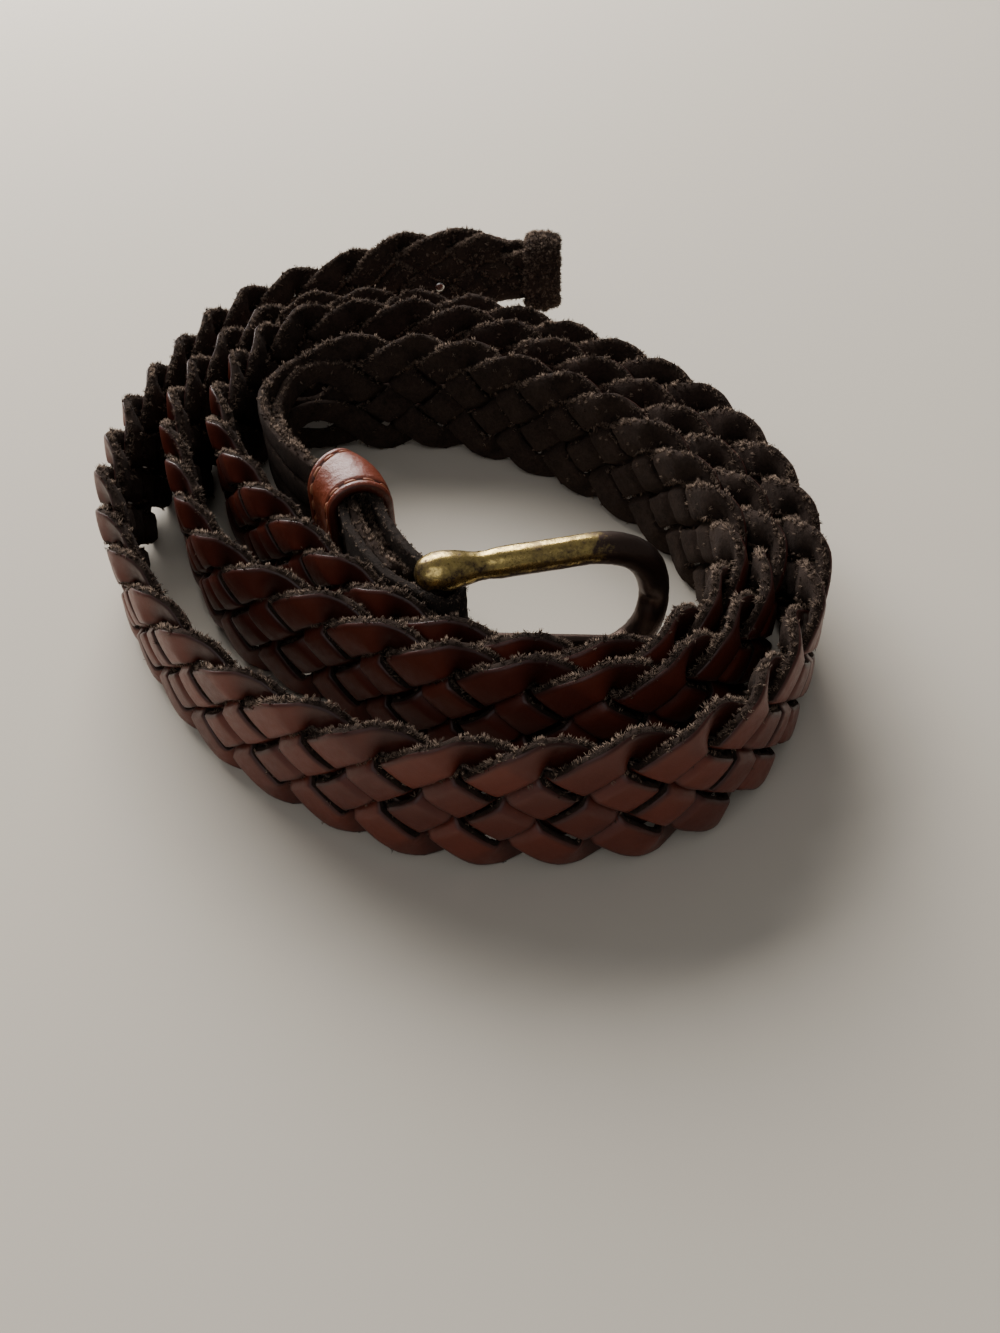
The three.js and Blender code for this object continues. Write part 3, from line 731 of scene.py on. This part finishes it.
def fuzz_object(name, base, out, slot, lengths=FIBRE_LENGTH):
    """A tuft of fibres at each base, each a thin closed spike rooted just under the surface."""
    tufts = len(base)
    count = tufts * TUFT
    shared = np.repeat(RANDOM.normal(0, 1, (tufts, 3)), TUFT, axis=0)
    lean = shared + RANDOM.normal(0, TUFT_STRAY, (count, 3))
    out = np.repeat(out, TUFT, axis=0)
    way = out + FIBRE_LEAN * lean / np.linalg.norm(lean, axis=1)[:, None]
    way /= np.linalg.norm(way, axis=1)[:, None]
    share = np.repeat(RANDOM.beta(*LENGTH_SPREAD, (tufts, 1)), TUFT, axis=0)
    own = RANDOM.uniform(*LENGTH_IN_TUFT, (count, 1))
    long = lengths[0] + (lengths[1] - lengths[0]) * share * own
    side = np.cross(way, lean)
    side /= np.linalg.norm(side, axis=1)[:, None]
    other = np.cross(way, side)
    spread = RANDOM.normal(0, TUFT_SPREAD, (count, 2))
    root = np.repeat(base, TUFT, axis=0) - FIBRE_ROOT * out
    root = root + side * spread[:, :1] + other * spread[:, 1:]
    corners = [
        root + FIBRE_RADIUS * (side * math.cos(turn) + other * math.sin(turn))
        for turn in (0, FULL_TURN / 3, 2 * FULL_TURN / 3)
    ]
    tip = root + way * (long + FIBRE_ROOT)
    points = np.stack([*corners, tip], axis=1)
    points[..., 2] = np.maximum(points[..., 2], FUZZ_CLEARANCE)
    first = 4 * np.arange(count)[:, None]
    faces = np.concatenate([first + f for f in ((0, 2, 1), (0, 1, 3), (1, 2, 3), (2, 0, 3))])
    tone = np.repeat(RANDOM.uniform(0, 1, tufts), TUFT) * TUFT_TONE
    tone = tone + RANDOM.uniform(0, 1 - TUFT_TONE, count)
    obj = make_object(
        name, points.reshape(-1, 3), faces.tolist(), [FIBRES], {"tone": np.repeat(tone, 4)},
    )
    return dress(obj, "belt", slot)


TUFTS_PER_STRIP = 5400
FUZZ_PIECES = 3
# How thick the fuzz stands, place by place on a strip's section
EDGE_FUZZ = 1.0
CORNER_FUZZ = 0.5
FLESH_FUZZ = 0.05
GRAIN_EDGE_FUZZ = 0.15
# It thickens towards the top: from a share of the belt's width upwards, over another share.
TOP_FROM = 0.62
TOP_OVER = 0.2
LOW_FUZZ = 0.22
TOP_FUZZ = 2.4
# And in the tail: up to a share of its length, then fading over some millimetres.
TAIL_FUZZ_END = 0.7
TAIL_FUZZ_FADE = 12
TAIL_FUZZ_MORE = 2.0
TAIL_FUZZ_ALL = 0.35


def strip_weights(points, sections):
    """Fibres stand on the cut edges most of all, and thinly on the flesh side."""
    weights = np.zeros(points.shape[:2])
    weights[:, GRAIN_COUNT:] = FLESH_FUZZ
    weights[:, [LOW_EDGE, HIGH_EDGE]] = EDGE_FUZZ
    weights[:, [LOW_EDGE + 1, HIGH_EDGE - 1]] = CORNER_FUZZ
    weights[:, [0, GRAIN_COUNT - 1]] = GRAIN_EDGE_FUZZ
    height = points[..., 2]
    top = ramp(height, TOP_FROM * BELT_WIDTH, TOP_OVER * BELT_WIDTH)
    weights *= LOW_FUZZ + TOP_FUZZ * top
    path = sections["s"][:, None]
    tail = 1 - smooth((path - WRAP_LENGTH - TAIL_FUZZ_END * TAIL_LENGTH) / TAIL_FUZZ_FADE)
    weights[:, GRAIN_COUNT:] *= 1 + TAIL_FUZZ_MORE * tail
    weights[:, GRAIN_COUNT:] += TAIL_FUZZ_ALL * tail
    return weights


def make_strips():
    """The strips, and their fuzz in a few pieces that each take tufts from all of them."""
    bases, ways = [], []
    for number in range(STRIP_COUNT):
        strip, rings, sections = make_strip(number)
        normals = ring_normals(strip, rings.shape[:2])
        weights = strip_weights(rings, sections)
        base, out = sample_fuzz(rings, normals, weights, TUFTS_PER_STRIP)
        bases.append(base)
        ways.append(out)
    base = np.concatenate(bases)
    out = np.concatenate(ways)
    for piece in range(FUZZ_PIECES):
        part = slice(piece, None, FUZZ_PIECES)
        fuzz_object(f"strip_fuzz_{piece + 1}", base[part], out[part], "strip_leather")


# Trim: the wrap, the keeper and the strap

SAME_POINT = 1e-6
OUTLINE_STEP = 1.2    # of the longer runs of a rounded section
OUTLINE_LONG = 1.5    # runs shorter than this stay whole


def divide(outline, spacing, shortest=0.0):
    """A closed outline with points about a spacing apart on its runs longer than shortest."""
    points = []
    for a, b in zip(outline, outline[1:] + outline[:1]):
        length = math.dist(a, b)
        if length < SAME_POINT:
            continue
        parts = max(1, round(length / spacing)) if length > shortest else 1
        points += [(a[0] + (b[0] - a[0]) * i / parts, a[1] + (b[1] - a[1]) * i / parts)
                   for i in range(parts)]
    return np.array(points)


def rounded_outline(half_out, half_up, radius, rise, steps):
    """(out, up) pairs round a section with rounded corners."""
    outline = []
    for quarter in range(4):
        out_side = 1 if quarter in (0, 3) else -1
        up_side = 1 if quarter < 2 else -1
        for i in range(steps + 1):
            angle = math.pi / 2 * (i if quarter % 2 == 0 else steps - i) / steps
            out = half_out - radius * (1 - math.cos(angle))
            up = half_up - rise * (1 - math.sin(angle))
            outline.append((out_side * out, up_side * up))
    return divide(outline, OUTLINE_STEP, OUTLINE_LONG)


def ring_at(s, outline):
    """An outline of (out, up) pairs set round the belt at a place along it."""
    return place(np.full(len(outline), s), outline[:, 0], outline[:, 1])


WRAP_CORNER = 1.9
WRAP_CORNER_STEPS = 6
WRAP_SWELL = 0.35     # of its wall, half way along
WRAP_TIP = ((0, 0.15), (0.25, 0.5), (0.8, 0.85), (1.6, 1.0))   # from its tip, share of its wall
WRAP_RIM = ((-0.5, 0.95), (0, 0.6), (0, 0.1))                  # from its rim, share of its wall
WRAP_MIDDLE = (2.6, 1.2)      # where its swollen stretch lies, from its tip and from its rim
WRAP_ROUGHNESS = 0.13
WRAP_TUFTS = 1300
INNER_WALL = 0.1      # where its closed end lies on the strips


def make_wrap():
    """The band that closes the tail, rough all over."""
    thickness, width = TAIL["thickness"][0], TAIL["width"][0]
    in_out = BRAID_THICKNESS / 2 * thickness + WRAP_CLEARANCE
    in_up = width * BELT_WIDTH / 2 + WRAP_CLEARANCE
    rings = []

    def ring(s, wall):
        radius = wall + WRAP_CORNER
        outline = rounded_outline(
            in_out + wall, in_up + wall, radius, radius, WRAP_CORNER_STEPS,
        )
        rings.append(ring_at(s, outline))

    for s, share in WRAP_TIP:
        ring(s, WRAP_WALL * share)
    for s in np.linspace(WRAP_MIDDLE[0], WRAP_LENGTH - WRAP_MIDDLE[1], 7):
        round_out = math.sin(math.pi * s / WRAP_LENGTH)
        ring(s, WRAP_WALL * (1 + WRAP_SWELL * round_out))
    for from_rim, share in WRAP_RIM:
        ring(WRAP_LENGTH + from_rim, WRAP_WALL * share)
    ring(WRAP_WALL, INNER_WALL)
    rings = np.array(rings)
    rings += RANDOM.normal(0, WRAP_ROUGHNESS, rings.shape)
    obj = loft("end_wrap_leather", rings, [STRIP_SUEDE])
    dress(obj, "belt", "trim_leather", "end_wrap")
    normals = ring_normals(obj, rings.shape[:2])
    weights = np.ones(rings.shape[:2])
    weights[-1] = 0
    base, out = sample_fuzz(rings, normals, weights, WRAP_TUFTS)
    fuzz_object("wrap_fuzz", base, out, "trim_leather")


KEEPER_STEPS = 12
KEEPER_SIDES = 96
KEEPER_NEAR = LENGTH - KEEPER_FROM_BAR
KEEPER_FAR = KEEPER_NEAR + KEEPER_LENGTH
KEEPER_IN_OUT = LEG_OUT + STRAP_THICKNESS / 2 + FIT_CLEARANCE
KEEPER_INNER_CROWN = 0.37     # the part of its crown that lies over the strap's edge
KEEPER_IN_UP = STRAP_WIDTH / 2 + FIT_CLEARANCE + KEEPER_CROWN * KEEPER_INNER_CROWN
KEEPER_BARREL = 0.25  # how far it swells half way along
# Its wall as a share of the full one, by how far inside either rim, and round each seam
KEEPER_RIM = ((0, 0.55), (0.12, 0.82), (0.5, 1.0))
SEAM_GROOVE = ((-0.6, 1.0), (-0.3, 0.86), (0, 0.74), (0.3, 0.86), (0.6, 1.0))
SEAM_INSET = 1.7      # of each seam from its rim
SEAM_MARGIN = 1.2     # from a seam to the plain wall between the two
RIM_SHADE = 0.9       # thinner walls than this are darkened: the dark of a cut edge at the rims, and painted shade in the seam grooves
KEEPER_TONE = 0.6


def keeper_outline(wall):
    return rounded_outline(
        KEEPER_IN_OUT + wall, KEEPER_IN_UP + wall,
        KEEPER_IN_OUT + wall, KEEPER_CROWN + wall, KEEPER_STEPS,
    )


def resample(outline, count):
    """A closed outline with evenly spaced points."""
    closed = np.vstack([outline, outline[:1]])
    along = np.concatenate([[0], np.cumsum(np.linalg.norm(np.diff(closed, axis=0), axis=1))])
    at = np.linspace(0, along[-1], count, endpoint=False)
    return np.stack([np.interp(at, along, closed[:, i]) for i in range(2)], axis=1)


def barrel_at(s):
    share = (s - KEEPER_NEAR) / KEEPER_LENGTH
    return KEEPER_BARREL * math.sin(math.pi * min(max(share, 0), 1))


def keeper_ring(s, wall):
    return ring_at(s, resample(keeper_outline(wall + barrel_at(s)), KEEPER_SIDES))


def make_keeper():
    """The sleeve, with a groove for each of its two seams."""
    seams = (KEEPER_NEAR + SEAM_INSET, KEEPER_FAR - SEAM_INSET)
    plain = np.linspace(seams[0] + SEAM_MARGIN, seams[1] - SEAM_MARGIN, 6)
    stations = [(KEEPER_NEAR + inside, share) for inside, share in KEEPER_RIM]
    stations += [(KEEPER_FAR - inside, share) for inside, share in KEEPER_RIM]
    stations += [(seam + along, share) for seam in seams for along, share in SEAM_GROOVE]
    stations += [(s, 1.0) for s in plain]
    stations.sort()
    outer = [keeper_ring(s, KEEPER_WALL * share) for s, share in stations]
    inner = [keeper_ring(s, 0.0) for s in np.linspace(KEEPER_FAR, KEEPER_NEAR, 6)]
    rings = np.array(outer + inner)
    # Walls thinner than RIM_SHADE take the dark of a cut edge at the rims and painted shade in the
    # seam grooves; the inner wall is painted shade all over.
    edge = [1.0 if share < RIM_SHADE else 0.0 for _, share in stations] + [1.0] * len(inner)
    sides = rings.shape[1]
    attributes = {
        "edge": np.repeat(edge, sides),
        "tone": np.full(rings.shape[0] * sides, KEEPER_TONE),
        # The inner wall also takes the dive's painted shade, for the shade inside the sleeve.
        "dive": np.repeat([0.0] * len(outer) + [1.0] * len(inner), sides),
    }
    obj = loft("keeper_leather", rings, [KEEPER_GRAIN], closed=True, attributes=attributes)
    dress(obj, "belt", "trim_leather", "keeper")
    for row, seam in enumerate(seams):
        make_stitches(f"keeper_stitches_{row + 1}", seam)


STITCH = 2.5
STITCH_GAP = 1.0
STITCH_SEAT = 0.82    # the share of the keeper's wall that it lies on
STITCH_SUNK = 0.7     # of its radius, into that
THREAD_RADIUS = 0.36
THREAD_SIDES = 8
SEAM_POINTS = 600
# Along a stitch, and its radius there, as shares
STITCH_PROFILE = (
    (0.0, 0.15), (0.06, 0.6), (0.2, 0.95), (0.5, 1.0), (0.8, 0.95), (0.94, 0.6), (1.0, 0.15),
)


def make_stitches(name, s):
    """A row of stitches all round the keeper, each a rounded run of thread."""
    barrel = barrel_at(s)
    outline = resample(keeper_outline(KEEPER_WALL * STITCH_SEAT + barrel), SEAM_POINTS)
    outside = resample(keeper_outline(KEEPER_WALL + 1 + barrel), SEAM_POINTS)
    step = np.linalg.norm(outline[1] - outline[0])
    count = int(SEAM_POINTS * step / (STITCH + STITCH_GAP))
    points, faces = [], []
    turns = turns_of(THREAD_SIDES)
    middle = ring_at(s, outline)
    outward = ring_at(s, outside) - middle
    outward /= np.linalg.norm(outward, axis=1)[:, None]
    for stitch in range(count):
        start = stitch * SEAM_POINTS / count
        rings = []
        for share, radius in STITCH_PROFILE:
            i = int(start + share * STITCH / step) % SEAM_POINTS
            tangent = middle[(i + 1) % SEAM_POINTS] - middle[i - 1]
            tangent /= np.linalg.norm(tangent)
            across = np.cross(tangent, outward[i])
            center = middle[i] + outward[i] * THREAD_RADIUS * (radius - STITCH_SUNK)
            rings.append([
                center + radius * THREAD_RADIUS
                * (across * math.cos(turn) + outward[i] * math.sin(turn))
                for turn in turns
            ])
        flat = np.array(rings).reshape(-1, 3)
        part = loft_faces(len(STITCH_PROFILE), THREAD_SIDES)
        if volume_of(flat - flat.mean(axis=0), part) < 0:
            part = [face[::-1] for face in part]
        offset = len(points)
        faces += [tuple(v + offset for v in face) for face in part]
        points += flat.tolist()
    obj = make_object(name, points, faces, [THREAD])
    dress(obj, "belt", "trim_leather")


# A corner of the strap's section: in from its face, and in from its edge
STRAP_CORNER = ((0.35, 0), (0.1, 0.12), (0, 0.4))
STRAP_STEP = 1.1      # between points round its section
STRAP_SECTIONS = 36   # of each leg
FOLD_STEPS = 14
STRAP_ROUGHNESS = 0.05
STRAP_TUFTS = 1100
STRAP_FIBRE_LENGTH = (0.15, 0.5)
STRAP_EDGE_FUZZ = 5.0    # times as much as on its faces
STRAP_EDGE = 0.5      # how far from the edge that reaches


def strap_outline():
    half = STRAP_THICKNESS / 2
    outline = []
    for out_side, up_side in ((1, 1), (-1, 1), (-1, -1), (1, -1)):
        corner = [(out_side * (half - in_face), up_side * (STRAP_WIDTH / 2 - in_edge))
                  for in_face, in_edge in STRAP_CORNER]
        outline += corner if out_side * up_side < 0 else corner[::-1]
    return divide(outline, STRAP_STEP)


def strap_rings(rows):
    """Sections down one leg, round the bar and back up the other."""
    path = []
    for s in np.linspace(LENGTH - STRAP_LENGTH, LENGTH, STRAP_SECTIONS):
        close = smooth((s - LENGTH + LEG_FADE + FOLD_OUT) / LEG_FADE)
        path.append((s, LEG_OUT + (FOLD_OUT - LEG_OUT) * float(close)))
    across, up = rows[:, 0], rows[:, 1]
    rings = [place(s, out + across, up) for s, out in path]
    for i in range(1, FOLD_STEPS):
        turn = math.pi * i / FOLD_STEPS
        radius = FOLD_OUT + across
        rings.append(place(LENGTH + radius * math.sin(turn), radius * math.cos(turn), up))
    rings += [place(s, -out - across, up) for s, out in reversed(path)]
    return np.array(rings)


def cut_slot(obj):
    """Cuts the slot for the prong through the strap's fold."""
    reach = SLOT_LENGTH + 2 * FOLD_OUT
    heading = math.atan2(LINE_T[-1][1], LINE_T[-1][0])
    cutter_mesh = bpy.data.meshes.new("slot")
    size = np.array([reach, 4 * FOLD_OUT, PRONG_HEIGHT + 2 * SLOT_CLEARANCE]) * MM
    corners = [
        Vector((x * size[0] - SLOT_LENGTH * MM, (y - 0.5) * size[1], (z - 0.5) * size[2]))
        for x in (0, 1) for y in (0, 1) for z in (0, 1)
    ]
    cutter_mesh.from_pydata(corners, [], [
        (0, 1, 3, 2), (4, 6, 7, 5), (0, 4, 5, 1), (2, 3, 7, 6), (0, 2, 6, 4), (1, 5, 7, 3),
    ])
    cutter = bpy.data.objects.new("slot", cutter_mesh)
    cutter.matrix_world = (
        Matrix.Translation(Vector(BAR[:2].tolist() + [BUCKLE_MIDDLE_Z]) * MM)
        @ Matrix.Rotation(heading, 4, "Z")
    )
    bpy.context.scene.collection.objects.link(cutter)
    cut = obj.modifiers.new("slot", "BOOLEAN")
    cut.operation = "DIFFERENCE"
    cut.solver = "EXACT"
    cut.object = cutter
    graph = bpy.context.evaluated_depsgraph_get()
    mesh = bpy.data.meshes.new_from_object(obj.evaluated_get(graph))
    obj.modifiers.clear()
    obj.data = mesh
    bpy.data.objects.remove(cutter)


def make_strap():
    """The strap's legs and its fold round the bar, with the slot cut for the prong."""
    rows = strap_outline()
    rings = strap_rings(rows)
    rings += RANDOM.normal(0, STRAP_ROUGHNESS, rings.shape)
    obj = loft("buckle_strap_leather", rings, [STRAP_SUEDE])
    cut_slot(obj)
    dress(obj, "belt", "strap_leather", "buckle_strap")
    plain = rings[1:-1]
    normals = plain - plain.mean(axis=1, keepdims=True)
    normals /= np.linalg.norm(normals, axis=2, keepdims=True)
    weights = np.ones(plain.shape[:2])
    at_edge = np.abs(rows[:, 1]) > STRAP_WIDTH / 2 - STRAP_EDGE
    weights *= np.where(at_edge, STRAP_EDGE_FUZZ, 1.0)[None, :]
    base, out = sample_fuzz(plain, normals, weights, STRAP_TUFTS)
    fuzz_object("strap_fuzz", base, out, "strap_leather", STRAP_FIBRE_LENGTH)


RIVET_ALONG = 29
RIVET_RADIUS = 1.2
RIVET_DROP = 1.8      # below the tail's middle
RIVET_SEAT = 0.25     # over the strips
RIVET_SIDES = 20
# Share of its radius, and how far it stands out
RIVET_PROFILE = ((1.0, -0.3), (1.0, 0.15), (0.85, 0.32), (0.5, 0.45), (0.05, 0.5))


def make_rivet():
    """The small bright head on the tail's inner side."""
    face = BRAID_THICKNESS / 2 * tail_share(RIVET_ALONG, "thickness") + RIVET_SEAT
    turns = turns_of(RIVET_SIDES)
    rings = [
        place(RIVET_ALONG + share * RIVET_RADIUS * np.cos(turns), -(face + rise),
              share * RIVET_RADIUS * np.sin(turns) - RIVET_DROP)
        for share, rise in RIVET_PROFILE
    ]
    dress(loft("tail_rivet_head", rings, [RIVET]), "belt", "brass")


# The buckle, along +X from its bar, which stands on the origin


def buckle_place(points, swing=0):
    """From the buckle's own frame to space, swung away from the frame by some degrees."""
    turn = math.radians(FRAME_HEADING - swing)
    x, y, z = points[..., 0], points[..., 1], points[..., 2]
    return np.stack([
        BAR[0] + x * math.cos(turn) - y * math.sin(turn),
        BAR[1] + x * math.sin(turn) + y * math.cos(turn),
        BUCKLE_MIDDLE_Z + z,
    ], axis=-1)


def wire_ring(center, across, up, radius_across, radius_up, sides):
    """Points round a wire, at a place with its own two cross directions."""
    turns = (np.arange(sides) + 0.5) * FULL_TURN / sides
    return (
        np.asarray(center)[None]
        + radius_across * np.cos(turns)[:, None] * np.asarray(across)[None]
        + radius_up * np.sin(turns)[:, None] * np.asarray(up)[None]
    )


NOTCH_DEPTH = 1.1
NOTCH_HALF = 2.0
NOTCH_FACING = (-0.62, -0.78, 0.0)    # the way it is cut in from
NOTCH_EDGE = (0.35, 0.6)      # where it starts as the surface turns that way, and over what
END_SQUARE = 0.5      # how much fuller its rounded end is than an ellipse
END_STEPS = 48
ARM_SWELL = 0.16      # where the arms turn into the rounded end
BULB_ROUND = 6        # rows of the bulb's blunt end, which are kept as they are
FRAME_SIDES = 36
BLUNT_RADIUS = 0.02   # at the bulb's very end
CAST_ROUGHNESS = 0.035
BAR_SIDES = 24
HIDDEN_PATINA = 0.5   # of the bar and the prong's eye
# Patina on the frame, and painted shade on its inner sides: where each starts, over what stretch,
# and how much there is at most
END_PATINA = (0.62, 0.40, 0.75)       # along its reach
# Painted shade on the sides that turn in towards the frame's middle, under the upper arm.
INSIDE_PAINTED_SHADE = (0.1, 0.6, 0.3)       # as the surface turns inwards


def patina_of(value, start, over, most):
    return ramp(value, start, over) * most


def brass_piece(name, body, rings, patina_and_shade, *nodes, closed=False):
    """A lofted piece of brass with its patina attribute, given to its body; on the frame that
    attribute also holds painted shade.
    """
    obj = loft(name, rings, [BRASS], closed, {"patina_and_shade": patina_and_shade.ravel()})
    dress(obj, body, "brass", *nodes)


def make_frame():
    """The horseshoe, with the notch worn where the prong's tip would rest, and its bar."""
    half = ARM_SPACING / 2
    straight_end = FRAME_REACH - FRAME_CURVE
    bulb_x = np.array(BULB["along"]) * BULB_RADIUS
    bulb_r = np.array(BULB["radius"]) * BULB_RADIUS
    neck = np.linspace(bulb_x[BULB_ROUND], bulb_x[-1], 14)
    fine = np.concatenate([bulb_x[:BULB_ROUND], neck])
    arm = list(zip(fine, np.interp(fine, bulb_x, bulb_r)))
    arm += [(x, ARM_RADIUS) for x in np.linspace(bulb_x[-1] + 2, straight_end, 8)[:-1]]
    stations = [(x, -half, 0.0, max(r, BLUNT_RADIUS)) for x, r in arm]
    far = [(x, -z, math.pi - angle, r) for x, z, angle, r in reversed(stations)]
    for turn in np.linspace(0, math.pi, END_STEPS + 1):
        angle = math.atan2(half * math.sin(turn), FRAME_CURVE * math.cos(turn))
        swell = 1 + ARM_SWELL * math.sin(turn) * abs(math.cos(turn))
        square = END_SQUARE * math.sin(2 * turn) ** 2
        stations.append((
            straight_end + FRAME_CURVE * math.sin(turn) + square,
            -half * math.cos(turn) - math.copysign(square, math.cos(turn)),
            angle, ARM_RADIUS * swell,
        ))
    stations += far
    rings = []
    for x, z, angle, radius in stations:
        up = (-math.sin(angle), 0, math.cos(angle))
        rings.append(wire_ring((x, 0, z), (0, 1, 0), up, radius, radius, FRAME_SIDES))
    rings = np.array(rings)
    middle = rings.mean(axis=1, keepdims=True)
    outward = (rings - middle) / np.linalg.norm(rings - middle, axis=2, keepdims=True)
    facing = outward @ np.array(NOTCH_FACING)
    notch = np.exp(-((middle[..., 2] / NOTCH_HALF) ** 2)) * (middle[..., 0] > straight_end)
    rings -= outward * (NOTCH_DEPTH * notch * ramp(facing, *NOTCH_EDGE))[..., None]
    wear = RANDOM.normal(0, CAST_ROUGHNESS, rings.shape[:2])
    rings += outward * wear[..., None]
    inwards = -outward[..., 2] * np.sign(middle[..., 2])
    patina_and_shade = patina_of(rings[..., 0] / FRAME_REACH, *END_PATINA)
    # Painted shade under the upper arm and on the sides facing into the frame, carried with the
    # patina.
    patina_and_shade += patina_of(inwards, *INSIDE_PAINTED_SHADE)
    brass_piece("buckle_frame_brass", "buckle", buckle_place(rings), patina_and_shade, "buckle_frame")
    bar = np.array([
        wire_ring((0, 0, z), (0, 1, 0), (-1, 0, 0), BAR_RADIUS, BAR_RADIUS, BAR_SIDES)
        for z in np.linspace(-half + 1, half - 1, 10)
    ])
    patina_and_shade = np.full(bar.shape[:2], HIDDEN_PATINA)
    brass_piece("buckle_bar_brass", "buckle", buckle_place(bar), patina_and_shade)


PRONG_SIDES = 24
EYE_STEPS = 40
EYE_PROFILE_SIDES = 16
EYE_SQUARE = 0.5      # the power that squares its section: 1 is round
PRONG_STEPS = 24
PRONG_TIP = (0.95, 0.965, 0.978, 0.988, 0.995, 1.0)    # shares of its length
PRONG_PATINA = 0.35
TIP_PATINA = (0.6, 0.3, 0.4)          # added along its length


def make_prong():
    """The prong as it hangs, and its loop round the bar."""
    inner = BAR_RADIUS + FIT_CLEARANCE
    outer = inner + EYE_WALL
    start = -(inner + EYE_WALL / 2)
    end = -(ARM_RADIUS + FIT_CLEARANCE + PRONG_THICKNESS / 2)
    reach = FRAME_REACH + PRONG_OVERHANG
    at = np.concatenate([np.linspace(0, 0.93, PRONG_STEPS), PRONG_TIP])
    rings = []
    for along in at:
        high = np.interp(along, PRONG["along"], PRONG["height"]) * PRONG_HEIGHT / 2
        thick = np.interp(along, PRONG["along"], PRONG["thickness"]) * PRONG_THICKNESS / 2
        center = (reach * along, start + (end - start) * along, -PRONG_DROOP * along)
        rings.append(wire_ring(center, (0, 1, 0), (0, 0, 1), thick, high, PRONG_SIDES))
    rings = np.array(rings)
    patina_and_shade = PRONG_PATINA + patina_of(rings[..., 0] / reach, *TIP_PATINA)
    brass_piece("prong_brass", "prong", buckle_place(rings, PRONG_SWING), patina_and_shade, "prong")
    profile = []
    wall = (outer - inner) / 2
    for turn in turns_of(EYE_PROFILE_SIDES):
        out = abs(math.cos(turn)) ** EYE_SQUARE * math.copysign(1, math.cos(turn))
        up = abs(math.sin(turn)) ** EYE_SQUARE * math.copysign(1, math.sin(turn))
        profile.append((inner + wall + wall * out, PRONG_HEIGHT / 2 * up))
    eye = np.array([
        [(r * math.cos(turn), r * math.sin(turn), z) for r, z in profile]
        for turn in turns_of(EYE_STEPS)
    ])
    patina_and_shade = np.full(eye.shape[:2], HIDDEN_PATINA)
    rings = buckle_place(eye, PRONG_SWING)
    brass_piece("prong_eye_brass", "prong", rings, patina_and_shade, closed=True)


# The pieces, in the order that their random draws follow

make_strips()
make_wrap()
make_rivet()
make_keeper()
make_strap()
make_frame()
make_prong()


# The stage

FLOOR_HALF = 2.0
FLOOR_CORNERS = np.array([(-1, -1, 0), (1, -1, 0), (1, 1, 0), (-1, 1, 0)]) * FLOOR_HALF / MM
floor_material = plain_material("floor", (0.70, 0.635, 0.54), 0.9)
make_object("floor", FLOOR_CORNERS, [(0, 1, 2, 3)], [floor_material])

# The photograph is 1000 x 1333 pixels, seen with a focal length of 1200 of them.
PHOTO_TALL = 1333
PHOTO_FOCAL = 1200
CAMERA_PLACE = (9.12, -193.70, 156.5)
CAMERA_DOWN = 44.5
CAMERA_ROLL = 2.45
SENSOR = 36

camera_data = bpy.data.cameras.new("camera")
camera_data.sensor_width = SENSOR
camera_data.lens = SENSOR * PHOTO_FOCAL / PHOTO_TALL
camera_data.clip_start = 0.01
camera = bpy.data.objects.new("camera", camera_data)
camera.matrix_world = (
    Matrix.Translation(Vector(CAMERA_PLACE) * MM)
    @ Matrix.Rotation(math.radians(90 - CAMERA_DOWN), 4, "X")
    @ Matrix.Rotation(math.radians(-CAMERA_ROLL), 4, "Z")
)
bpy.context.scene.collection.objects.link(camera)
bpy.context.scene.camera = camera


def area_light(name, place_m, size, energy, color):
    """A square light that shines on the middle of the coil."""
    data = bpy.data.lights.new(name, "AREA")
    data.shape = "SQUARE"
    data.size = size
    data.energy = energy
    data.color = color
    light = bpy.data.objects.new(name, data)
    light.location = place_m
    light.rotation_euler = Vector(place_m).to_track_quat("Z", "Y").to_euler()
    bpy.context.scene.collection.objects.link(light)


area_light("window", (-0.36, 0.84, 0.60), size=0.9, energy=26, color=(1.0, 0.985, 0.96))
area_light("fill", (-0.5, -1.2, 1.2), size=1.4, energy=4.5, color=(0.97, 0.98, 1.0))
world = bpy.data.worlds.new("studio")
world.use_nodes = True
backdrop = world.node_tree.nodes["Background"]
backdrop.inputs["Color"].default_value = (0.92, 0.92, 0.92, 1.0)
backdrop.inputs["Strength"].default_value = 0.16
bpy.context.scene.world = world
